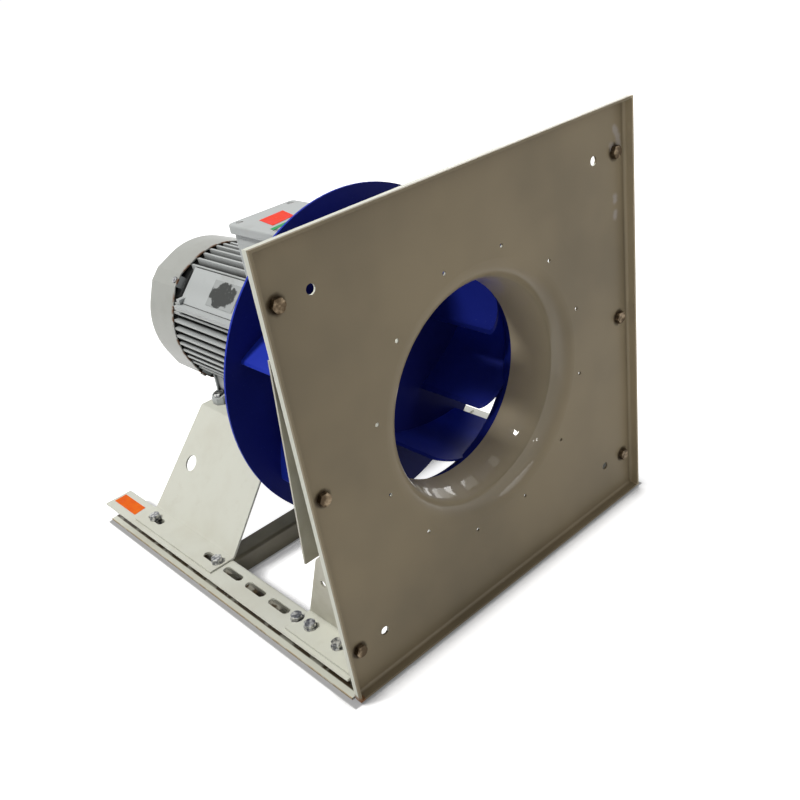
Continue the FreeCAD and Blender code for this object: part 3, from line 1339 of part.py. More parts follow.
def box_lid():
    half_x, half_y = BOX_HALF_X + LID_OVERHANG, BOX_HALF_Y + LID_OVERHANG
    lid = rounded_block(half_x, half_y, LID_Z0, LID_Z1, LID_CORNER)
    top_z = AXIS_Z + LID_Z1
    rim = [e for e in lid.Edges if all(abs(v.Z - top_z) < EDGE_TOLERANCE for v in e.Vertexes)]
    lid = lid.makeFillet(LID_EDGE_ROUND, rim)
    inset = BOX_WALL + LID_HOLLOW_INSET
    tools = [box_block(BOX_HALF_X - inset, BOX_HALF_Y - inset, LID_Z0 - CUT_OVER, LID_Z1 - LID_WALL)]
    tools += screw_bores(LID_Z0 - CUT_OVER, LID_Z1 + CUT_OVER)
    recess_z = top_z - LID_SCREW_SUNK - LID_SCREW_HEAD
    for x, y in lid_screw_points():
        tools.append(rod_z(x, y, LID_SCREW_HEAD_R + LID_SCREW_GAP, recess_z, top_z + CUT_OVER))
    return cut(lid, tools)


def lid_screws():
    top = AXIS_Z + LID_Z1 - LID_SCREW_SUNK
    under = top - LID_SCREW_HEAD
    tip = AXIS_Z + BOX_Z1 - LID_SCREW_BITE
    half = LID_SCREW_SLOT_W / 2.0
    screws = []
    for x, y in lid_screw_points():
        head = rod_z(x, y, LID_SCREW_HEAD_R, under, top)
        shank = rod_z(x, y, LID_SCREW_R, tip, under)
        slot = box(x - LID_SCREW_HEAD_R, x + LID_SCREW_HEAD_R, y - half, y + half,
                   top - LID_SCREW_SLOT_D, top + CUT_OVER)
        screws.append(head.fuse(shank).cut(slot).removeSplitter())
    return group(screws)


def terminal_board():
    z0 = BOX_Z0 + BOX_WALL
    return box_block(BOARD_L / 2.0, BOARD_W / 2.0, z0, z0 + BOARD_H)


def terminal_studs():
    base = AXIS_Z + BOX_Z0 + BOX_WALL + BOARD_H
    studs = []
    for i in (-1, 0, 1):
        for j in (-1, 1):
            studs.append(rod_z(i * STUD_PITCH, BOX_MID_Y + j * STUD_ROW, STUD_R, base, base + STUD_H))
    return group(studs)


def cable_gland():
    z = gland_height()
    x_axis = V(1, 0, 0)
    inside = BOX_WALL + GLAND_INSIDE
    neck = Part.makeCylinder(GLAND_R, inside, V(BOX_HALF_X - inside, BOX_MID_Y, z), x_axis)
    body = hexagon(V(BOX_HALF_X, BOX_MID_Y, z), x_axis, GLAND_AF, GLAND_HEX_LEN)
    seat = V(BOX_HALF_X + GLAND_HEX_LEN, BOX_MID_Y, z)
    cap = Part.makeCylinder(GLAND_CAP_R, GLAND_CAP_LEN, seat, x_axis)
    cap = cap.makeChamfer(GLAND_CAP_EDGE, [max(cap.Edges, key=lambda e: e.CenterOfMass.x)])
    return fuse([neck, body, cap])


# Plates and labels

def nameplate():
    out = V(-DIAGONAL, 0, DIAGONAL)
    across = V(DIAGONAL, 0, DIAGONAL) * (NAMEPLATE_W / 2.0)
    along = V(0, NAMEPLATE_L / 2.0, 0)
    middle = V(0, NAMEPLATE_Y, AXIS_Z) + out * FLAT_R
    corners = [middle - along - across, middle + along - across,
               middle + along + across, middle - along + across]
    return prism(corners, out * NAMEPLATE_T)


def label(corners, y, z):
    # A thin film with its corners given across and along from a point.
    return prism([V(dx, y + dy, z) for dx, dy in corners], V(0, 0, LABEL_T))


def rail_label():
    return label(RAIL_LABEL_CORNERS, 0.0, RAIL_H)


def lid_label(corners):
    return label(corners, BOX_MID_Y, AXIS_Z + LID_Z1)


# Export

def save(name, shape):
    copy = shape.copy()
    copy.translate(TO_ORIGIN)
    for solid in copy.Solids:
        if not solid.isValid():
            print("invalid solid in", name)
    copy.exportStep("parts/" + name + ".step")
    b = copy.BoundBox
    size = [round(v, 1) for v in (b.XMin, b.XMax, b.YMin, b.YMax, b.ZMin, b.ZMax)]
    print(name, "solids", len(copy.Solids), size)


def main():
    os.makedirs("parts", exist_ok=True)
    right_upright = upright()
    right_rail = rail()
    right_foot = motor_foot()
    pieces = {
        "inlet_plate": inlet_plate(),
        "upright_left": mirrored(right_upright),
        "upright_right": right_upright,
        "rail_left": mirrored(right_rail),
        "rail_right": right_rail,
        "cross_beam": cross_beam(),
        "pedestal": pedestal(),
        "plate_bolts": plate_bolts(),
        "plate_nuts": plate_nuts(),
        "rail_bolts": frame_bolts(rail_bolt_seats()),
        "pedestal_bolts": frame_bolts(pedestal_bolt_seats()),
        "frame_washers": frame_washers(),
        "frame_nuts": frame_nuts(),
        "back_plate": back_plate(),
        "shroud": shroud(),
        "hub": hub(),
        "hub_bolts": hub_bolts(),
        "taper_bush": taper_bush(),
        "end_washer": end_washer(),
        "end_bolt": end_bolt(),
        "shaft_key": shaft_key(),
        "shaft": shaft(),
        "rotor_core": rotor_core(),
        "stator_core": stator_core(),
        "stator_winding": stator_winding(),
        "motor_housing": motor_housing(),
        "front_end_shield": front_end_shield(),
        "rear_end_shield": rear_end_shield(),
        "front_bearing_outer": bearing_outer("front"),
        "front_bearing_inner": bearing_inner("front"),
        "rear_bearing_outer": bearing_outer("rear"),
        "rear_bearing_inner": bearing_inner("rear"),
        "bearing_balls": bearing_balls(),
        "cooling_fan": cooling_fan(),
        "fan_cowl": fan_cowl(),
        "cowl_screws": cowl_screws(),
        "motor_foot_left": mirrored(right_foot),
        "motor_foot_right": right_foot,
        "motor_foot_bolts": motor_foot_bolts(),
        "motor_foot_nuts": motor_foot_nuts(),
        "terminal_box": terminal_box(),
        "box_gasket": box_gasket(),
        "box_lid": box_lid(),
        "lid_screws": lid_screws(),
        "terminal_board": terminal_board(),
        "terminal_studs": terminal_studs(),
        "cable_gland": cable_gland(),
        "nameplate": nameplate(),
        "rail_label": rail_label(),
        "lid_label_red": lid_label(RED_LABEL_CORNERS),
        "lid_label_green": lid_label(GREEN_LABEL_CORNERS),
    }
    for i, blade in enumerate(blades(), start=1):
        pieces["blade_" + str(i)] = blade
    for name, shape in pieces.items():
        save(name, shape)


main()
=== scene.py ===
# %% [markdown]
# A plug fan: a motor on a folded pedestal turns a blue open wheel, and a square plate with a
# rolled bell mouth feeds it with air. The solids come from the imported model, in metres, and they
# already have their true shape. So this lesson is about finishes: what each surface is made of,
# how it was painted or machined, and how a procedural material can say that without any picture.

# %% Load the fixed frame
import bpy
from mathutils import Matrix, Vector


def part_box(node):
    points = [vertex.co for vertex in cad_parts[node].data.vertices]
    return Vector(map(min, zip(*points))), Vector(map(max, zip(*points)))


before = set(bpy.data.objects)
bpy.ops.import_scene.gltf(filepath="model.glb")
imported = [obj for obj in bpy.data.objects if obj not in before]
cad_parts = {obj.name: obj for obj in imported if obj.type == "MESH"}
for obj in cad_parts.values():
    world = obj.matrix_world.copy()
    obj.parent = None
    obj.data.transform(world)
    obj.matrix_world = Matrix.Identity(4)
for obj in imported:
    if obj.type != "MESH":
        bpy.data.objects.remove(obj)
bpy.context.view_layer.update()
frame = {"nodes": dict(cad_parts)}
nodes = frame["nodes"]

# %% [markdown]
# Shader maths is easiest to read as ordinary maths. This small class wraps one socket of a
# material, and its operators add the Math nodes, so a mask can be written as `1 - dirt * 0.5`.


# %% One value in a material
class Value:
    def __init__(self, nodes, socket):
        self.nodes = nodes
        self.socket = socket

    def maths(self, operation, *values):
        return self.nodes.node("ShaderNodeMath", {"operation": operation}, dict(enumerate(values)))

    def other(self, name):
        # Another output of the same node.
        return Value(self.nodes, self.socket.node.outputs[name])

    def __add__(self, other):
        return self.maths("ADD", self, other)

    def __sub__(self, other):
        return self.maths("SUBTRACT", self, other)

    def __rsub__(self, other):
        return self.maths("SUBTRACT", other, self)

    def __mul__(self, other):
        return self.maths("MULTIPLY", self, other)

    def __truediv__(self, other):
        return self.maths("DIVIDE", self, other)

    def __rtruediv__(self, other):
        return self.maths("DIVIDE", other, self)

    def __pow__(self, other):
        return self.maths("POWER", self, other)

    def __rpow__(self, other):
        return self.maths("POWER", other, self)

    __radd__ = __add__
    __rmul__ = __mul__

    def at_least(self, other):
        return self.maths("MAXIMUM", self, other)

    def at_most(self, other):
        return self.maths("MINIMUM", self, other)

    def size(self):
        return self.maths("ABSOLUTE", self)

    def ramp(self, low, high):
        # 0 below low, 1 above high, and smooth between; low may be the larger one.
        return self.nodes.node("ShaderNodeMapRange", {"interpolation_type": "SMOOTHSTEP"},
                                {"Value": self, "From Min": low, "From Max": high})


print("operators ready")

# %% [markdown]
# Every other node comes in through one method: its type, its settings first, then what goes into
# its sockets, either plain numbers or other values. A finish is one material with such a set of
# nodes. Numbers that are the same all over its surface go straight onto the shader's own sockets.


# %% Nodes and finishes
def paint(red, green, blue):
    # A colour as a paint card gives it, 0 to 255, turned into the light that a shader wants.
    # The numbers are those of the sRGB curve, with its straight start for the darkest values.
    return tuple(pow((c / 255 + 0.055) / 1.055, 2.4) if c > 10.3 else c / 3294.6
                 for c in (red, green, blue)) + (1.0,)


class Nodes:
    def __init__(self, tree, shader):
        self.tree = tree
        self.shader = tree.nodes[shader]

    def node(self, kind, settings=None, sockets=None, out=0):
        made = self.tree.nodes.new(kind)
        for key, value in (settings or {}).items():
            setattr(made, key, value)
        for key, value in (sockets or {}).items():
            if isinstance(value, Value):
                self.tree.links.new(value.socket, made.inputs[key])
            else:
                made.inputs[key].default_value = value
        return Value(self, made.outputs[out])

    def feed(self, **sockets):
        for key, value in sockets.items():
            self.tree.links.new(value.socket, self.shader.inputs[key.replace("_", " ")])

    def mix(self, mask, under, over):
        # The colour under the mask where it is 0, the one over it where it is 1.
        return self.node("ShaderNodeMix", {"data_type": "RGBA"},
                         {0: mask, 6: under, 7: over}, out=2)


class Finish(Nodes):
    def __init__(self, name, **fixed):
        self.name = name
        self.material = bpy.data.materials.new(name)
        self.material.use_nodes = True
        super().__init__(self.material.node_tree, "Principled BSDF")
        for socket, value in fixed.items():
            self.shader.inputs[socket.replace("_", " ")].default_value = value
        self.place = self.node("ShaderNodeTexCoord", out="Object")


print("finishes ready")

# %% [markdown]
# The patterns that most finishes share: clouds of noise in the object's own metres, the three
# coordinates one by one, and the distance from the line that the wheel turns about. Everything
# is measured on the object, so that a pattern keeps its true size from any side.
#
# Two more look at the shape itself. A Bevel node bends the normal near an edge, and where the
# result differs from the true normal, paint wears first. An Ambient Occlusion node tells how
# much of the room around a point is free, and where little is, the finishes paint shade.

# %% Shared patterns
AXIS_HEIGHT = 0.252


def clouds(finish, per_metre, detail=2.0, rough=0.5, place=None):
    return finish.node("ShaderNodeTexNoise", None,
                       {"Vector": place or finish.place, "Scale": per_metre,
                        "Detail": detail, "Roughness": rough})


def stretched(finish, x, y, z):
    return finish.node("ShaderNodeVectorMath", {"operation": "MULTIPLY"},
                       {0: finish.place, 1: (x, y, z)})


def along(finish, axis, vector=None):
    return finish.node("ShaderNodeSeparateXYZ", None, {0: vector or finish.place}, out=axis)


def from_axis(finish):
    x = along(finish, "X")
    z = along(finish, "Z") - AXIS_HEIGHT
    return (x * x + z * z) ** 0.5


def softened(finish, radius):
    # The normal as it would be if every sharp edge were rounded with this radius.
    return finish.node("ShaderNodeBevel", {"samples": 4}, {"Radius": radius})


def edges(finish, radius):
    # Where the surface turns sharply within the radius: worn, chipped or bright edges.
    true = finish.node("ShaderNodeNewGeometry", out="True Normal")
    same = finish.node("ShaderNodeVectorMath", {"operation": "DOT_PRODUCT"},
                       {0: true, 1: softened(finish, radius)}, out="Value")
    return (1 - same).ramp(0.02, 0.25)


def hollow(finish, reach):
    # Where other surfaces close in within the reach: gaps, corners and the ground under a bolt.
    # The finishes use it to paint shade there.
    free = finish.node("ShaderNodeAmbientOcclusion", {"samples": 6}, {"Distance": reach}, out="AO")
    return 1 - free


def bump(finish, height, depth, radius=0.0):
    # Depth is in metres. A radius rounds the sharp edges of the solid in the shading.
    sockets = {"Height": height, "Distance": depth, "Strength": 1.0}
    if radius:
        sockets["Normal"] = softened(finish, radius)
    return finish.node("ShaderNodeBump", None, sockets)


print("patterns ready, wheel's axis at", AXIS_HEIGHT, "m")

# %% [markdown]
# Wear happens at places, so two helpers measure a distance on the object: one from a point, one
# from a straight line between two points. Both look along one axis of the object, like a stencil
# held against a flat sheet, and a ramp turns the distance into a mask.

# %% Distances for wear
def from_point(across, up, point):
    dx, dy = across - point[0], up - point[1]
    return (dx * dx + dy * dy) ** 0.5


def from_line(across, up, start, end):
    run = (end[0] - start[0], end[1] - start[1])
    length = run[0] ** 2 + run[1] ** 2
    share = ((across - start[0]) * run[0] + (up - start[1]) * run[1]) / length
    share = share.at_least(0.0).at_most(1.0)
    dx = across - start[0] - share * run[0]
    dy = up - start[1] - share * run[1]
    return (dx * dx + dy * dy) ** 0.5


print("distances ready")

# %% [markdown]
# The frame is folded sheet, powder coated in a pale pebble grey. Powder melts into a skin with a
# fine orange peel, so a noise of about a millimetre tilts the normal a little. Handling leaves
# broad, faint stains. The cut edges of the rails took less powder: the upper one shows a brown
# line, the lower one a tan primer.
#
# Some darker marks are painted shade. The channel of each rail is dark on the lower flange
# and a little up the web, and so are narrow gaps and corners. The uprights behind the plate are
# browner where the plate shades them. The cross beam, in shade, is brown all over.

# %% Frame paint
PEEL = 900.0
PALE = paint(221, 222, 210)
PALE_DIRTY = paint(203, 200, 184)
TAN = paint(186, 158, 116)
BROWN = paint(112, 82, 54)
UPRIGHT_SHADE = paint(138, 126, 100)
SHADE_BROWN = paint(66, 52, 34)
BEAM_SHADE = paint(92, 84, 58)
RAIL_EDGE = 0.2508
RAIL_HEIGHT = 0.030
LIP_TOP = 0.0040
FLANGE_TOP = 0.0030
CHANNEL_REACH = 0.2430
PLATE_SHADOW = -0.165


def pale_paint(finish):
    stain = clouds(finish, 9.0, 4.0, 0.6).ramp(0.45, 0.75) * 0.5
    dust = clouds(finish, 60.0, 3.0).ramp(0.55, 0.8) * 0.3
    return finish.mix(stain.at_least(dust), PALE, PALE_DIRTY)


def frame_finish(name, beam_shade):
    coat = Finish(name, Coat_Weight=0.15, Coat_Roughness=0.3, Specular_IOR_Level=0.4)
    height = along(coat, "Z")
    outward = along(coat, "X").size()
    # The cut edges of both rails, in gaps that a cloud leaves.
    edge = outward.ramp(RAIL_EDGE, RAIL_EDGE + 0.0006)
    edge = edge * (0.45 + 0.55 * clouds(coat, 70.0, 3.0).ramp(0.35, 0.55))
    lower_lip = height.ramp(LIP_TOP + 0.0020, LIP_TOP)
    upper_lip = height.ramp(RAIL_HEIGHT - 0.0018, RAIL_HEIGHT - 0.0023) * (1 - lower_lip)
    colour = coat.mix(edge * lower_lip * 0.8, pale_paint(coat), TAN)

    # The uprights: above the rails and close behind the plate, painted darker as its shade.
    behind = height.ramp(RAIL_HEIGHT + 0.0030, RAIL_HEIGHT + 0.0045)
    behind = behind * along(coat, "Y").ramp(PLATE_SHADOW + 0.015, PLATE_SHADOW)
    behind = behind * (0.6 + 0.4 * clouds(coat, 30.0, 3.0).ramp(0.2, 0.8))
    colour = coat.mix(behind * 0.6, colour, UPRIGHT_SHADE)

    worn = edges(coat, 0.0012) * clouds(coat, 130.0, 3.0).ramp(0.5, 0.62) * 0.4
    colour = coat.mix((edge * upper_lip * 0.85).at_least(worn), colour, BROWN)

    # Painted shade in the channel of each rail: the lower flange all across, the web above it only
    # in part.
    flange = height.ramp(FLANGE_TOP + 0.0045, FLANGE_TOP)
    web = height.ramp(RAIL_HEIGHT - 0.0025, RAIL_HEIGHT - 0.0030)
    channel = flange.at_least(web * 0.35) * outward.ramp(CHANNEL_REACH + 0.0016, CHANNEL_REACH)
    channel = channel * (0.65 + 0.35 * clouds(coat, 55.0, 3.0).ramp(0.42, 0.52))
    # Narrow gaps and corners get the same painted shade.
    crevice_shade = hollow(coat, 0.012).ramp(0.35, 0.75) * 0.6
    colour = coat.mix(channel.at_least(crevice_shade), colour, SHADE_BROWN)
    # The cross beam: painted shade over all of it.
    if beam_shade:
        colour = coat.mix(beam_shade + 0.15 * clouds(coat, 30.0, 3.0), colour, BEAM_SHADE)
    coat.feed(Base_Color=colour, Roughness=0.36 + 0.14 * clouds(coat, 25.0, 3.0) + 0.2 * edge,
              Normal=bump(coat, clouds(coat, PEEL, 2.0), 0.00006, 0.0006))
    return coat


frame_paint = frame_finish("frame_paint", 0.0)
shaded_beam_paint = frame_finish("shaded_beam_paint", 0.85)
print("frame paint: orange peel of", round(1000 / PEEL, 2), "mm")

# %% [markdown]
# The inlet plate shows two colours: taupe on the side that faces the room and inside the bell,
# pale like the frame on its back and on the outside of its rim. The taupe is painted shade on
# one pale paint: the side that looks forward is darker because of how light falls. One mask
# splits them. A normal that looks forward or towards the axis is on the taupe side, whatever
# the sheet's curve. The front of the rim is taupe too.
#
# Three places differ. The spun bell is smooth and glossy, and painted lighter deep inside: painted
# light. The corner where the rim is folded is painted darker: painted shade. The right side of
# the rim is painted paler than the sheet: painted light.

# %% Plate paint
TAUPE = paint(146, 133, 108)
TAUPE_DARK = paint(127, 116, 95)
TAUPE_LIGHT = paint(154, 140, 115)
BELL_PAINTED_LIGHT = paint(186, 173, 146)
GREASE_AND_SHADE = paint(58, 46, 30)
RIM_PAINTED_LIGHT = paint(190, 176, 148)
RIM_FRONT = -0.2862
RIM_BEND = 0.2440
BELL_REACH = 0.152
BELL_START, BELL_DEEP = -0.2775, -0.2560

taupe = Finish("taupe_paint", Coat_Roughness=0.04, Specular_IOR_Level=0.12)
across, back, up = (along(taupe, axis) for axis in "XYZ")
# The mask of the forward-facing side, which gets the painted shade.
facing = taupe.node("ShaderNodeTexCoord", out="Normal")
outwards = (along(taupe, "X", facing) * across
            + along(taupe, "Z", facing) * (up - AXIS_HEIGHT)) / from_axis(taupe)
front = (0 - along(taupe, "Y", facing) - outwards).ramp(-0.05, 0.05)
front = front.at_least(back.ramp(RIM_FRONT, RIM_FRONT - 0.0006))

cloudy = clouds(taupe, 5.0, 3.0, 0.55).ramp(0.3, 0.7)
# Painted reflection: lighter vertical streaks, stretched upright.
reflection_streaks = clouds(taupe, 1.0, 2.0, 0.4, stretched(taupe, 9.0, 9.0, 3.0)).ramp(0.45, 0.8) * 0.4
taupe_side = taupe.mix(reflection_streaks, taupe.mix(cloudy, TAUPE_DARK, TAUPE), TAUPE_LIGHT)
spun = from_axis(taupe).ramp(BELL_REACH, BELL_REACH - 0.016)
spun = spun * back.ramp(BELL_START, BELL_START + 0.0075)
# Painted light: the bell is made lighter deep inside.
taupe_side = taupe.mix(back.ramp(BELL_START + 0.0025, BELL_DEEP), taupe_side, BELL_PAINTED_LIGHT)
# Painted light: the right side of the rim is made paler.
right_rim = across.ramp(RIM_BEND, RIM_BEND + 0.0035)
# Painted shade in the corner where the rim is folded.
corner = hollow(taupe, 0.02).ramp(0.12, 0.5) * 0.22 * (1 - spun) * (1 - right_rim)
taupe_side = taupe.mix(corner, taupe_side, GREASE_AND_SHADE)
taupe_side = taupe.mix(right_rim, taupe_side, RIM_PAINTED_LIGHT)
print("plate paint: two sides, bell from radius", BELL_REACH, "inwards")

# %% [markdown]
# Six bolts hold the plate, and each has a dark collar: partly old grease, partly painted shadow
# of the bolt head. The rows are evenly spaced, so the distance to the nearest bolt needs no
# list: the width folds at the middle plane and the height at the axis. A few places are damaged:
# scuffs near the upper right corner, each between two points of the plate, and a rusty lower
# left corner.

# %% Plate wear
BOLT_ACROSS, BOLT_ROW = 0.230, 0.1935
BARE = paint(170, 163, 158)
RUST = paint(132, 84, 44)
RUSTY_CORNER = (-0.2500, 0.0030)
SCUFFS = (((0.2307, 0.4700), (0.2358, 0.4615)), ((0.2358, 0.4615), (0.2389, 0.4491)),
          ((0.2246, 0.4529), (0.2250, 0.4500)), ((0.2293, 0.3960), (0.2293, 0.3920)),
          ((0.2286, 0.3780), (0.2286, 0.3746)))

row = (up - AXIS_HEIGHT).size()
row = row.at_most((row - BOLT_ROW).size())
# Partly grease, partly painted shadow of the bolt head: a dark ring round each bolt.
collar = from_point(across.size(), row, (BOLT_ACROSS, 0.0)) + 0.004 * clouds(taupe, 150.0, 3.0)
collar = collar.ramp(0.0135, 0.0095) * front * 0.85
nearest = from_line(across, up, *SCUFFS[0])
for start, end in SCUFFS[1:]:
    nearest = nearest.at_most(from_line(across, up, start, end))
scuffed = (nearest + 0.006 * clouds(taupe, 160.0, 3.0)).ramp(0.0092, 0.0042)
rusty = from_point(across, up, RUSTY_CORNER) + 0.006 * clouds(taupe, 120.0, 3.0)
rusty = rusty.ramp(0.011, 0.007)
# Painted shade: taupe on the side that looks forward, the frame's pale paint elsewhere.
colour = taupe.mix(front, pale_paint(taupe), taupe_side)
colour = taupe.mix(collar, colour, GREASE_AND_SHADE)
colour = taupe.mix(scuffed * front * 0.6, colour, BARE)
colour = taupe.mix(rusty * 0.8, colour, RUST)
taupe.feed(Base_Color=colour,
           Roughness=0.34 + 0.14 * clouds(taupe, 18.0, 3.0) + 0.3 * collar,
           Coat_Weight=0.06 + 0.64 * spun,
           Normal=bump(taupe, clouds(taupe, 800.0, 2.0), 0.00003, 0.0005))
print("plate wear: grease at", BOLT_ACROSS, "scuffs", len(SCUFFS))

# %% [markdown]
# The wheel is welded steel, sprayed deep blue. The flat faces of the two plates, which look
# forward or back, and the parts near the throat are darker: painted shade, for the inside of the
# wheel that little light reaches. Fine dust shows as paler, duller specks, and the edges are
# chipped.

# %% Wheel paint
BLUE = paint(34, 56, 184)
BLUE_SHADE = paint(24, 30, 104)
BLUE_DUSTY = paint(70, 86, 160)
BLUE_CHIP = paint(92, 104, 176)
THROAT_REACH = 0.165

blue = Finish("blue_paint", Specular_IOR_Level=0.12)
facing = blue.node("ShaderNodeTexCoord", out="Normal")
# Painted shade: darker on the flat faces of the plates and near the throat.
flat_face = along(blue, "Y", facing).size().ramp(0.5, 0.9)
throat = from_axis(blue).ramp(THROAT_REACH, THROAT_REACH - 0.030)
even = 0.8 + 0.2 * clouds(blue, 14.0, 3.0).ramp(0.3, 0.7)
unshaded = (1 - flat_face * 0.9) * (1 - throat * 0.7) * even
dust = clouds(blue, 420.0, 2.0).ramp(0.66, 0.76) * 0.25
chipped = edges(blue, 0.0010) * clouds(blue, 200.0, 3.0).ramp(0.52, 0.62) * 0.5
colour = blue.mix(dust, blue.mix(unshaded, BLUE_SHADE, BLUE), BLUE_DUSTY)
blue.feed(Base_Color=blue.mix(chipped, colour, BLUE_CHIP),
          Roughness=0.42 + 0.12 * unshaded + 0.3 * dust,
          Normal=bump(blue, clouds(blue, 700.0, 2.0), 0.00004, 0.0004))
print("wheel paint: full coat outside radius", THROAT_REACH)

# %% [markdown]
# The motor's housing, shields and feet are cast aluminium under grey enamel. The sand of the
# mould shows through as a fine grain, and dirt lies in patches. Between the fins, near the
# barrel, and in narrow gaps the grey is painted almost black: painted shade.

# %% Motor castings
GREY = paint(188, 192, 192)
GREY_DIRTY = paint(140, 138, 130)
GREY_SHADE = paint(36, 34, 30)
GREY_RUBBED = paint(218, 218, 214)
FIN_ROOT, FIN_TIP = 0.0865, 0.0955

cast = Finish("motor_aluminium", Specular_IOR_Level=0.4)
# Painted shade: almost black between the fins and in narrow gaps.
deep = from_axis(cast).ramp(FIN_TIP, FIN_ROOT).at_least(hollow(cast, 0.012).ramp(0.3, 0.7))
dirt = clouds(cast, 20.0, 4.0, 0.6).ramp(0.5, 0.8) * 0.4
rubbed = edges(cast, 0.0012) * clouds(cast, 160.0, 2.0).ramp(0.5, 0.6) * 0.5
colour = cast.mix(dirt, GREY, GREY_DIRTY)
colour = cast.mix(deep * (0.75 + 0.25 * clouds(cast, 45.0, 3.0)), colour, GREY_SHADE)
cast.feed(Base_Color=cast.mix(rubbed, colour, GREY_RUBBED),
          Roughness=0.42 + 0.2 * clouds(cast, 60.0, 2.0),
          Normal=bump(cast, clouds(cast, 520.0, 3.0, 0.6), 0.00022, 0.0006))
print("castings: dirt from radius", FIN_TIP, "inwards")

# %% [markdown]
# The cowl over the cooling fan is pressed sheet in the same grey, so it has the colour without
# the sand grain. Its rim rubs against crates and shows brown where the paint has gone.

# %% Cowl paint
COWL_GREY = paint(172, 174, 169)
COWL_RUST = paint(112, 78, 52)
COWL_FRONT, COWL_BACK = (corner.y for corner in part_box("fan_cowl"))

cowl = Finish("motor_paint", Specular_IOR_Level=0.4)
front_rim = along(cowl, "Y").ramp(COWL_FRONT + 0.005, COWL_FRONT + 0.0005)
back_rim = along(cowl, "Y").ramp(COWL_BACK - 0.004, COWL_BACK - 0.001) * edges(cowl, 0.002)
bare = front_rim.at_least(back_rim) * clouds(cowl, 90.0, 3.0).ramp(0.42, 0.56)
grime = clouds(cowl, 16.0, 4.0, 0.6).ramp(0.45, 0.8) * 0.4
cowl.feed(Base_Color=cowl.mix(bare, cowl.mix(grime, COWL_GREY, GREY_DIRTY), COWL_RUST),
          Roughness=0.34 + 0.25 * bare,
          Normal=bump(cowl, clouds(cowl, 800.0, 2.0), 0.00004, 0.0006))
print("cowl from", round(COWL_FRONT, 4), "to", round(COWL_BACK, 4))

# %% [markdown]
# Screws, nuts and washers are zinc plated. Fresh zinc is a bright, slightly blue metal that dulls
# in patches. Grease and dust stain it in patches, and in the corners the same dark colour is
# painted shade; the roughness changes with both. The plate's screws get a browner zinc with
# more of the dark colour.

# %% Zinc
def plated(name, bright, dull, dirt_and_shade, dirt_share):
    zinc = Finish(name, Metallic=1.0)
    patch = clouds(zinc, 260.0, 3.0).ramp(0.35, 0.65)
    stain = clouds(zinc, 90.0, 4.0, 0.6).ramp(0.70 - dirt_share / 2, 0.90 - dirt_share / 2)
    # Painted shade: the dark colour also goes into the corners.
    stain = stain.at_least(hollow(zinc, 0.005).ramp(0.3, 0.65))
    colour = zinc.mix(stain * 0.85, zinc.mix(patch, dull, bright), dirt_and_shade)
    zinc.feed(Base_Color=colour, Roughness=0.28 + 0.14 * patch + 0.25 * stain,
              Normal=bump(zinc, clouds(zinc, 1400.0, 2.0), 0.00003, 0.0003))
    return zinc


zinc = plated("zinc_steel", paint(214, 214, 210), paint(112, 114, 120), paint(62, 58, 54), 0.3)
brown_zinc = plated("brown_zinc", paint(140, 124, 102), paint(110, 96, 78),
                     paint(62, 50, 36), 0.7)
print("zinc ready, clean and greasy")

# %% [markdown]
# Bare machined steel is turned on a lathe: fine rings run round the axis. A wave that depends
# only on the place along and out from the axis gives those rings on every turned face.

# %% Turned steel and bearing rings
def turned(name, tint, rough, rings=2600.0, depth=0.00001):
    steel = Finish(name, Metallic=1.0)
    run = from_axis(steel) + along(steel, "Y")
    fine = clouds(steel, rings, 2.0, 0.6, steel.node("ShaderNodeCombineXYZ", None, {"X": run}))
    film = clouds(steel, 80.0, 3.0).ramp(0.4, 0.8)
    steel.feed(Base_Color=steel.mix(film * 0.5, tint, paint(110, 100, 84)),
               Roughness=rough + 0.15 * fine + 0.15 * film,
               Normal=bump(steel, fine, depth, 0.0003))
    return steel


shaft_steel = turned("shaft_steel", paint(176, 172, 164), 0.22)
bearing_steel = turned("bearing_steel", paint(196, 196, 194), 0.14, 3200.0, 0.000006)
print("turned steel ready")

# %% [markdown]
# The hub and its taper bush are cast iron, left dark with a coarse skin where it isn't machined.

# %% Cast iron
iron = Finish("cast_iron", Metallic=0.6)
grain = clouds(iron, 480.0, 4.0, 0.65)
oxide = clouds(iron, 70.0, 4.0, 0.6).ramp(0.5, 0.75)
iron.feed(Base_Color=iron.mix(oxide * 0.7, paint(70, 70, 72), paint(92, 66, 48)),
          Roughness=0.5 + 0.2 * grain, Normal=bump(iron, grain, 0.0003, 0.0005))
print("cast iron ready")

# %% [markdown]
# Inside the motor the stator is a stack of thin stamped sheets, and the winding heads are
# varnished copper wire. A saw-tooth along the axis draws the sheets, and a twisted wave the wires.

# %% Core and copper
SHEET_STEP = 0.0006
core = Finish("core_steel", Metallic=0.8)
tooth = core.node("ShaderNodeMath", {"operation": "PINGPONG"},
                  {0: along(core, "Y"), 1: SHEET_STEP}) / SHEET_STEP
core.feed(Base_Color=core.mix(tooth, paint(72, 70, 68), paint(118, 116, 112)),
          Roughness=0.4 + 0.2 * clouds(core, 120.0, 2.0), Normal=bump(core, tooth, 0.0001))

copper = Finish("copper_winding", Metallic=0.7, Coat_Weight=0.6, Coat_Roughness=0.1)
turn = copper.node("ShaderNodeTexWave", {"bands_direction": "Y"},
                   {"Vector": copper.place, "Scale": 230.0, "Distortion": 3.0, "Detail": 2.0})
copper.feed(Base_Color=copper.mix(turn, paint(96, 40, 20), paint(186, 98, 52)),
            Roughness=0.25 + 0.2 * turn, Normal=bump(copper, turn, 0.0004))
print("core sheets of", SHEET_STEP * 1000, "mm")

# %% [markdown]
# The small parts in and on the motor: black moulded plastic with a spark-eroded grain, a matt
# rubber gasket, and brass studs with tarnish.

